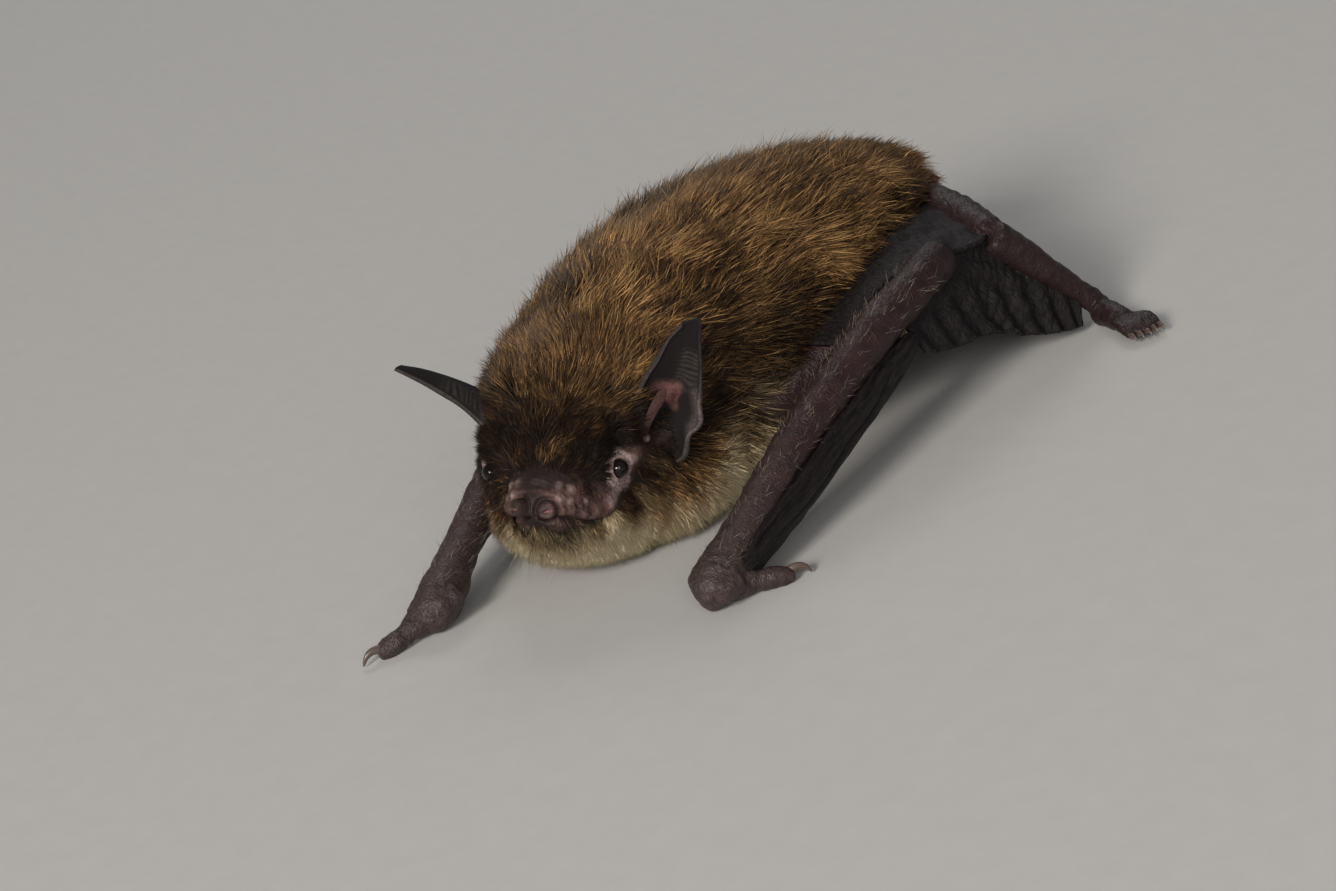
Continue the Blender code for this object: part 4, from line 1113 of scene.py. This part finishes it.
def arm_down():
    """Fine hairs scattered over the forearms, lying towards the elbow."""
    pick = np.flatnonzero(is_forearm & (limb_normals[:, 2] > -0.2) & (down_arm > 0.08))
    pick = rng.choice(pick, ARM_HAIRS, replace=False)
    here, normal = limb_points[pick], limb_normals[pick]
    axis = unit(np.array(ELBOW[LEFT]) - np.array(WRIST[LEFT]))
    last = unit(axis + normal * 0.05 + rng.normal(size=here.shape) * 0.45)
    first = unit(last * 0.7 + normal * 0.6)
    patch = np.stack([limb_along[pick] / 60 + 0.1, limb_around[pick] / 12 + 0.5], -1)
    marks = {"tone": rng.normal(size=ARM_HAIRS) * 0.3}
    return tuft_mesh("arm_down", here - normal * 0.03, first, last, rng.uniform(0.5, 1.3, ARM_HAIRS),
                     np.full(ARM_HAIRS, ARM_HAIR_WIDTH), normal, marks, patch)


fine_hair = [whiskers(), arm_down()]

# %% [markdown]
# ## Materials
#
# A finish is built by joining shader nodes. Writing them as sums and products keeps them readable, so
# one small class stands for a socket and adds a Math node for each operation. Colours are mixed by Mix
# nodes, because a Math node would turn them grey. One method makes every other kind of node.

# %% Sockets that do arithmetic
class Socket:
    """An output of a node: a + b, a - b and a * b each add one Math node."""

    def __init__(self, finish, link):
        self.finish, self.link = finish, link

    def __add__(self, other):
        return self.finish.math("ADD", self, other)

    def __sub__(self, other):
        return self.finish.math("SUBTRACT", self, other)

    def __rsub__(self, other):
        return self.finish.math("SUBTRACT", other, self)

    def __mul__(self, other):
        return self.finish.math("MULTIPLY", self, other)

    __radd__, __rmul__ = __add__, __mul__


class Finish:
    """A material being made: node() adds any node, and its values or links go into its sockets."""

    def __init__(self, name, **fixed):
        self.material = bpy.data.materials.new(name)
        self.material.use_nodes = True
        self.tree = self.material.node_tree
        self.shader = self.tree.nodes["Principled BSDF"]
        for key, value in fixed.items():
            self.shader.inputs[key.replace("_", " ")].default_value = value

    def node(self, kind, settings=None, inputs=None, output=0):
        made = self.tree.nodes.new(kind)
        for key, value in (settings or {}).items():
            if key == "stops":
                ramp = made.color_ramp
                while len(ramp.elements) < len(value):
                    ramp.elements.new(0.5)
                for element, (place, colour) in zip(ramp.elements, value):
                    element.position, element.color = place, (*colour, 1)
            else:
                setattr(made, key, value)
        for key, value in (inputs or {}).items():
            if isinstance(value, Socket):
                self.tree.links.new(value.link, made.inputs[key])
            else:
                made.inputs[key].default_value = value
        return Socket(self, made.outputs[output])

    def math(self, operation, a, b):
        return self.node("ShaderNodeMath", {"operation": operation}, {0: a, 1: b})

    def clamp(self, value):
        return self.node("ShaderNodeClamp", {}, {0: value})

    def above(self, value, start, gain, base=None):
        """gain (value - start), and a base where one is given, held between 0 and 1."""
        rise = (value - start) * gain
        return self.clamp(rise if base is None else rise + base)

    def mark(self, name):
        return self.node("ShaderNodeAttribute", {"attribute_name": name}, output="Fac")

    def marks(self, *names):
        return [self.mark(name) for name in names]

    def mix(self, factor, a, b):
        a, b = ((*c, 1) if isinstance(c, tuple) else c for c in (a, b))
        return self.node("ShaderNodeMix", {"data_type": "RGBA"}, {0: factor, 6: a, 7: b}, output=2)

    def place(self):
        """Object coordinates in millimetres."""
        where = self.node("ShaderNodeTexCoord", output="Object")
        return self.node("ShaderNodeVectorMath", {"operation": "SCALE"}, {0: where, "Scale": 1000.0})

    def noise(self, where, scale, detail=3.0, rough=0.55):
        inputs = {"Vector": where, "Scale": scale, "Detail": detail, "Roughness": rough}
        return self.node("ShaderNodeTexNoise", {}, inputs, output="Fac")

    def cells(self, where, scale):
        """The distance from the walls of a foam of cells."""
        return self.node("ShaderNodeTexVoronoi", {"feature": "DISTANCE_TO_EDGE"},
                         {"Vector": where, "Scale": scale}, output="Distance")

    def vector(self, x, y, z=0.0):
        return self.node("ShaderNodeCombineXYZ", {}, {0: x, 1: y, 2: z})

    def ramp(self, factor, *stops):
        return self.node("ShaderNodeValToRGB", {"stops": stops}, {0: factor})

    def bump(self, height, distance, strength=1.0):
        inputs = {"Height": height, "Distance": distance, "Strength": strength}
        return self.node("ShaderNodeBump", {}, inputs)

    def connect(self, **links):
        for key, value in links.items():
            self.tree.links.new(value.link, self.shader.inputs[key.replace("_", " ")])
        return self.material


# %% [markdown]
# ## Bare skin
#
# The face is a dark reddish brown, and paler on the swollen glands and round the eyes. The arms are a
# darker brown like old leather, crossed by fine wrinkles, and the ears are almost black with a
# pink root inside. All of it is one material, because real skin changes colour without a seam. The
# wrinkles follow the limbs: their noise is read along and around each limb, and stretched around it.

# %% The skin's material
def skin_finish():
    """Face, then arms, then ears, each a base colour with noise mixed over it; pink and dark come last."""
    made = Finish("bare_skin", Specular_IOR_Level=0.27)
    where = made.place()
    along_mm, around_mm, limb, ear, dark, pale, pink, bare, belly, low = made.marks(
        "along", "around", "limb", "ear", "dark", "pale", "pink", "bare", "belly", "low")
    blotch, speck = made.noise(where, 0.55, 4.0), made.noise(where, 3.5, 4.0, 0.7)
    speck_bumps_and_sheen = made.noise(where, 6.5, 3.0, 0.6)
    wrinkle = made.noise(made.vector(along_mm * 2.6, around_mm * 0.55), 1.4, 5.0, 0.62)
    pores, scales = made.cells(where, 5.5), made.cells(made.vector(along_mm * 4.6, around_mm * 2.2), 1.0)

    face = made.mix(made.above(blotch, 0.3, 2.5), (0.034, 0.016, 0.012), (0.125, 0.060, 0.049))
    face = made.mix(made.above(made.noise(where, 2.0, 2.0), 0.46, 5.0) * 0.55, face, (0.028, 0.013, 0.010))
    face = made.mix(made.above(speck, 0.48, 4.0) * 0.6, face, (0.030, 0.013, 0.011))
    # The small raised specks of the face are paler on top: painted highlights on the bumps.
    face = made.mix(made.above(speck_bumps_and_sheen, 0.52, 6.0) * 0.45, face, (0.19, 0.115, 0.095))
    face = made.mix(pale * made.above(speck, 0.47, 3.0, 0.65), face, (0.42, 0.298, 0.276))
    arm = made.mix(made.clamp(blotch * 1.6 - 0.4), (0.017, 0.0070, 0.0072), (0.040, 0.0165, 0.0165))
    hand = made.mix(made.clamp(speck * 2.4 - 0.8), (0.030, 0.019, 0.017), (0.085, 0.060, 0.055))
    arm = made.mix(low * 0.8, arm, hand)
    # The raised crests of the wrinkles are paler: painted highlights.
    arm = made.mix(made.above(wrinkle, 0.50, 5.0) * 0.35, arm, (0.070, 0.045, 0.043))
    blade = made.mix(made.clamp(speck * 1.4 - 0.3), (0.004, 0.0028, 0.0024), (0.011, 0.008, 0.007))
    blade = made.mix(pale * made.above(speck, 0.5, 2.0, 0.6), blade, (0.21, 0.165, 0.150))
    under_coat = made.mix(belly, (0.022, 0.013, 0.008), (0.10, 0.075, 0.045))

    colour = made.mix(ear, made.mix(limb, made.mix(bare, under_coat, face), arm), blade)
    colour = made.mix(pink * made.above(speck, 0.5, 1.5, 0.65), colour, (0.26, 0.110, 0.095))
    # The dark mark is partly the skin's own colour and partly painted shade: face furrow, ear opening,
    # mouth groove, ear root and front.
    colour = made.mix(dark, colour, (0.006, 0.004, 0.004))
    rough = made.clamp(0.46 + speck * 0.25 - limb * 0.16 + (1 - bare) * 0.4 + ear * 0.30)
    fine = made.clamp(pores * 5.0) * 0.12 + made.clamp(scales * 3.5) * limb * 0.5
    height = wrinkle * limb * 0.75 + speck * 0.35 + fine + speck_bumps_and_sheen * (1 - limb) * (1 - ear) * 0.8
    return made.connect(Base_Color=colour, Roughness=rough, Normal=made.bump(height, 0.00008, 0.8))


def wing_finish():
    """Blackish brown, wrinkled: folds are noise stretched along the bundle, with fine crossing creases."""
    made = Finish("wing_leather", Specular_IOR_Level=0.22)
    along_mm, around_mm = made.marks("along", "around")
    strips = made.noise(made.vector(along_mm * 0.35, around_mm * 2.4), 1.6, 5.0, 0.6)
    creases = made.cells(made.vector(along_mm * 1.2, around_mm * 1.6), 1.5)
    speck = made.noise(made.place(), 3.0, 4.0, 0.65)
    # The raised strips are lighter than the furrows between them: painted highlights along the pleats.
    colour = made.mix(made.above(strips, 0.40, 3.5), (0.0045, 0.0035, 0.0035), (0.017, 0.011, 0.011))
    colour = made.mix(made.above(speck, 0.52, 4.0) * 0.5, colour, (0.030, 0.020, 0.020))
    height = strips * 2.2 + made.clamp(creases * 5.0) * 0.14 + speck * 0.4
    return made.connect(Base_Color=colour, Roughness=made.clamp(0.42 + speck * 0.3),
                        Normal=made.bump(height, 0.00012, 0.9))


# %% [markdown]
# ## Hair, eyes and horn
#
# A single hair is darkest at its root. Golden tips over dark bases are what give the coat its depth, so
# the colour follows the mark "tip", which runs from 0 at the root to 1 at the end of each tuft, and the
# mark "tone", which differs from lock to lock. On the belly the same rule runs from grey-brown to buff.

# %% The coat's materials
def coat_finish():
    """Dark root to golden tip on the back, grey-brown to buff below, by tip + tone - darkening - head; the
    darkening is darker hair on the brows and painted shade by the wings and the left ear.
    """
    made = Finish("coat_hair", Specular_IOR_Level=0.22)
    tip, tone, belly, shade, head = made.marks("tip", "tone", "belly", "shade", "head")
    fleck = made.noise(made.place(), 1.3, 3.0)
    # The darkening taken off here is darker hair on the brows, and painted shade beside the wings and
    # behind the left ear.
    run = made.clamp(tip * 0.92 + tone * 0.50 + (fleck - 0.5) * 0.4 + belly * 0.34 - shade * 0.36
                     - head * 0.13)
    back = made.ramp(run, (0.0, (0.009, 0.005, 0.003)), (0.34, (0.034, 0.017, 0.007)),
                     (0.64, (0.160, 0.080, 0.029)), (1.0, (0.62, 0.35, 0.128)))
    under = made.ramp(run, (0.0, (0.11, 0.074, 0.038)), (0.30, (0.38, 0.28, 0.155)),
                      (0.62, (0.72, 0.565, 0.335)), (1.0, (0.93, 0.80, 0.54)))
    return made.connect(Base_Color=made.mix(belly, back, under), Roughness=made.clamp(0.66 - tip * 0.14))


def whisker_finish():
    """Brown at the root and pale at the tip, lighter or darker by each hair's tone."""
    made = Finish("whisker_hair", Specular_IOR_Level=0.5)
    run = made.clamp(made.mark("tip") * 0.6 + made.mark("tone") + 0.3)
    colour = made.ramp(run, (0.0, (0.05, 0.036, 0.024)), (1.0, (0.34, 0.28, 0.20)))
    return made.connect(Base_Color=colour, Roughness=made.clamp(0.5 - run * 0.1))


def eye_finish():
    """A dark brown iris round a black pupil under a clear wet coat."""
    made = Finish("eye_gloss", Specular_IOR_Level=0.12, Coat_Weight=0.4, Coat_Roughness=0.02)
    streak = made.noise(made.place(), 6.0, 3.0)
    iris = made.mix(streak, (0.006, 0.004, 0.003), (0.016, 0.010, 0.007))
    colour = made.mix(made.mark("pupil"), iris, (0.002, 0.0015, 0.0015))
    colour = made.mix(made.mark("rim"), colour, (0.006, 0.004, 0.004))
    return made.connect(Base_Color=colour, Roughness=made.clamp(0.08 + streak * 0.06))


def claw_finish():
    """Dark horn with faint paler lines along the claw."""
    made = Finish("claw_horn", Specular_IOR_Level=0.5, Coat_Weight=0.3, Coat_Roughness=0.2)
    lines = made.noise(made.vector(made.mark("along") * 0.4, made.mark("around") * 6.0), 3.0, 3.0)
    colour = made.mix(lines, (0.035, 0.022, 0.018), (0.15, 0.10, 0.075))
    return made.connect(Base_Color=colour, Roughness=made.clamp(0.25 + lines * 0.2),
                        Normal=made.bump(lines, 0.00003))


for finish, pieces in ((skin_finish, [skin]), (wing_finish, [wing]), (coat_finish, coat),
                       (whisker_finish, fine_hair), (eye_finish, eyeballs), (claw_finish, [claws])):
    material = finish()
    for piece in pieces:
        piece.data.materials.append(material)
    print(material.name, "is on", len(pieces), "pieces")

# %% [markdown]
# ## Floor, light and camera
#
# A museum would show such a model on a pale sheet in soft light. The key lamp stands before the face, a
# larger and softer one on the camera's side fills the shadows, and a weak one behind draws a thin rim
# along the back. A single lamp would be simpler, but the dark side of the coat would be lost. The camera
# looks down at the bat's left shoulder, tilted a little, through a long lens, so that the small animal
# isn't distorted.

# %% A plain pale floor
floor_mesh = bpy.data.meshes.new("floor")
floor_mesh.from_pydata([(-3, -3, 0), (3, -3, 0), (3, 3, 0), (-3, 3, 0)], [], [(0, 1, 2, 3)])
floor = added("floor", floor_mesh)
paper = Finish("pale_paper", Roughness=0.85, Specular_IOR_Level=0.2)
grain = paper.mix(paper.noise(paper.place(), 0.4, 5.0), (0.50, 0.485, 0.46), (0.55, 0.53, 0.505))
floor_mesh.materials.append(paper.connect(Base_Color=grain))
print("the paper is", 1000 * floor.dimensions.x, "mm wide")


# %% Soft lamps
BAT_MIDDLE = (0, 0, 0.01)


def lamp(name, place, size, energy, colour=(1, 1, 1)):
    """A square lamp that faces the bat; places are in metres."""
    light = bpy.data.lights.new(name, "AREA")
    light.size, light.energy, light.color = size, energy, colour
    made = added(name, light)
    made.location = place
    made.rotation_euler = (Vector(BAT_MIDDLE) - Vector(place)).to_track_quat("-Z", "Y").to_euler()
    print("lamp", name, "of", energy, "watts")


lamp("key", (0.25, -0.85, 0.44), 0.27, 8.5, (1.0, 0.97, 0.93))
lamp("fill", (1.08, -0.97, 0.60), 0.80, 7.8, (0.95, 0.97, 1.0))
lamp("back", (-0.30, 0.40, 0.45), 0.30, 0.8)
world = bpy.data.worlds.new("studio")
world.use_nodes = True
sky = world.node_tree.nodes["Background"].inputs
sky["Color"].default_value = (0.80, 0.82, 0.85, 1)
sky["Strength"].default_value = 0.18
bpy.context.scene.world = world
bpy.context.scene.view_settings.view_transform = "Standard"

# %% The camera
CAMERA_PLACE = Vector((194.5, -199.18, 104.32)) * MM
AZIMUTH, ELEVATION, ROLL = (math.radians(degrees) for degrees in (45, 20, -17))
back = Vector((math.sin(AZIMUTH) * math.cos(ELEVATION), -math.cos(AZIMUTH) * math.cos(ELEVATION),
               math.sin(ELEVATION)))
level = Vector((0, 0, 1)).cross(back).normalized()
upright = back.cross(level)
right = math.cos(ROLL) * level + math.sin(ROLL) * upright
turned = Matrix((right, back.cross(right), back)).transposed()
camera_data = bpy.data.cameras.new("camera")
camera_data.lens, camera_data.sensor_width = 100, 36
camera_data.clip_start, camera_data.clip_end = 0.01, 20
camera = added("camera", camera_data)
camera.matrix_world = Matrix.Translation(CAMERA_PLACE) @ turned.to_4x4()
bpy.context.scene.camera = camera
print("camera is", round((camera.location - Vector(BAT_MIDDLE)).length * 1000), "mm from the bat")
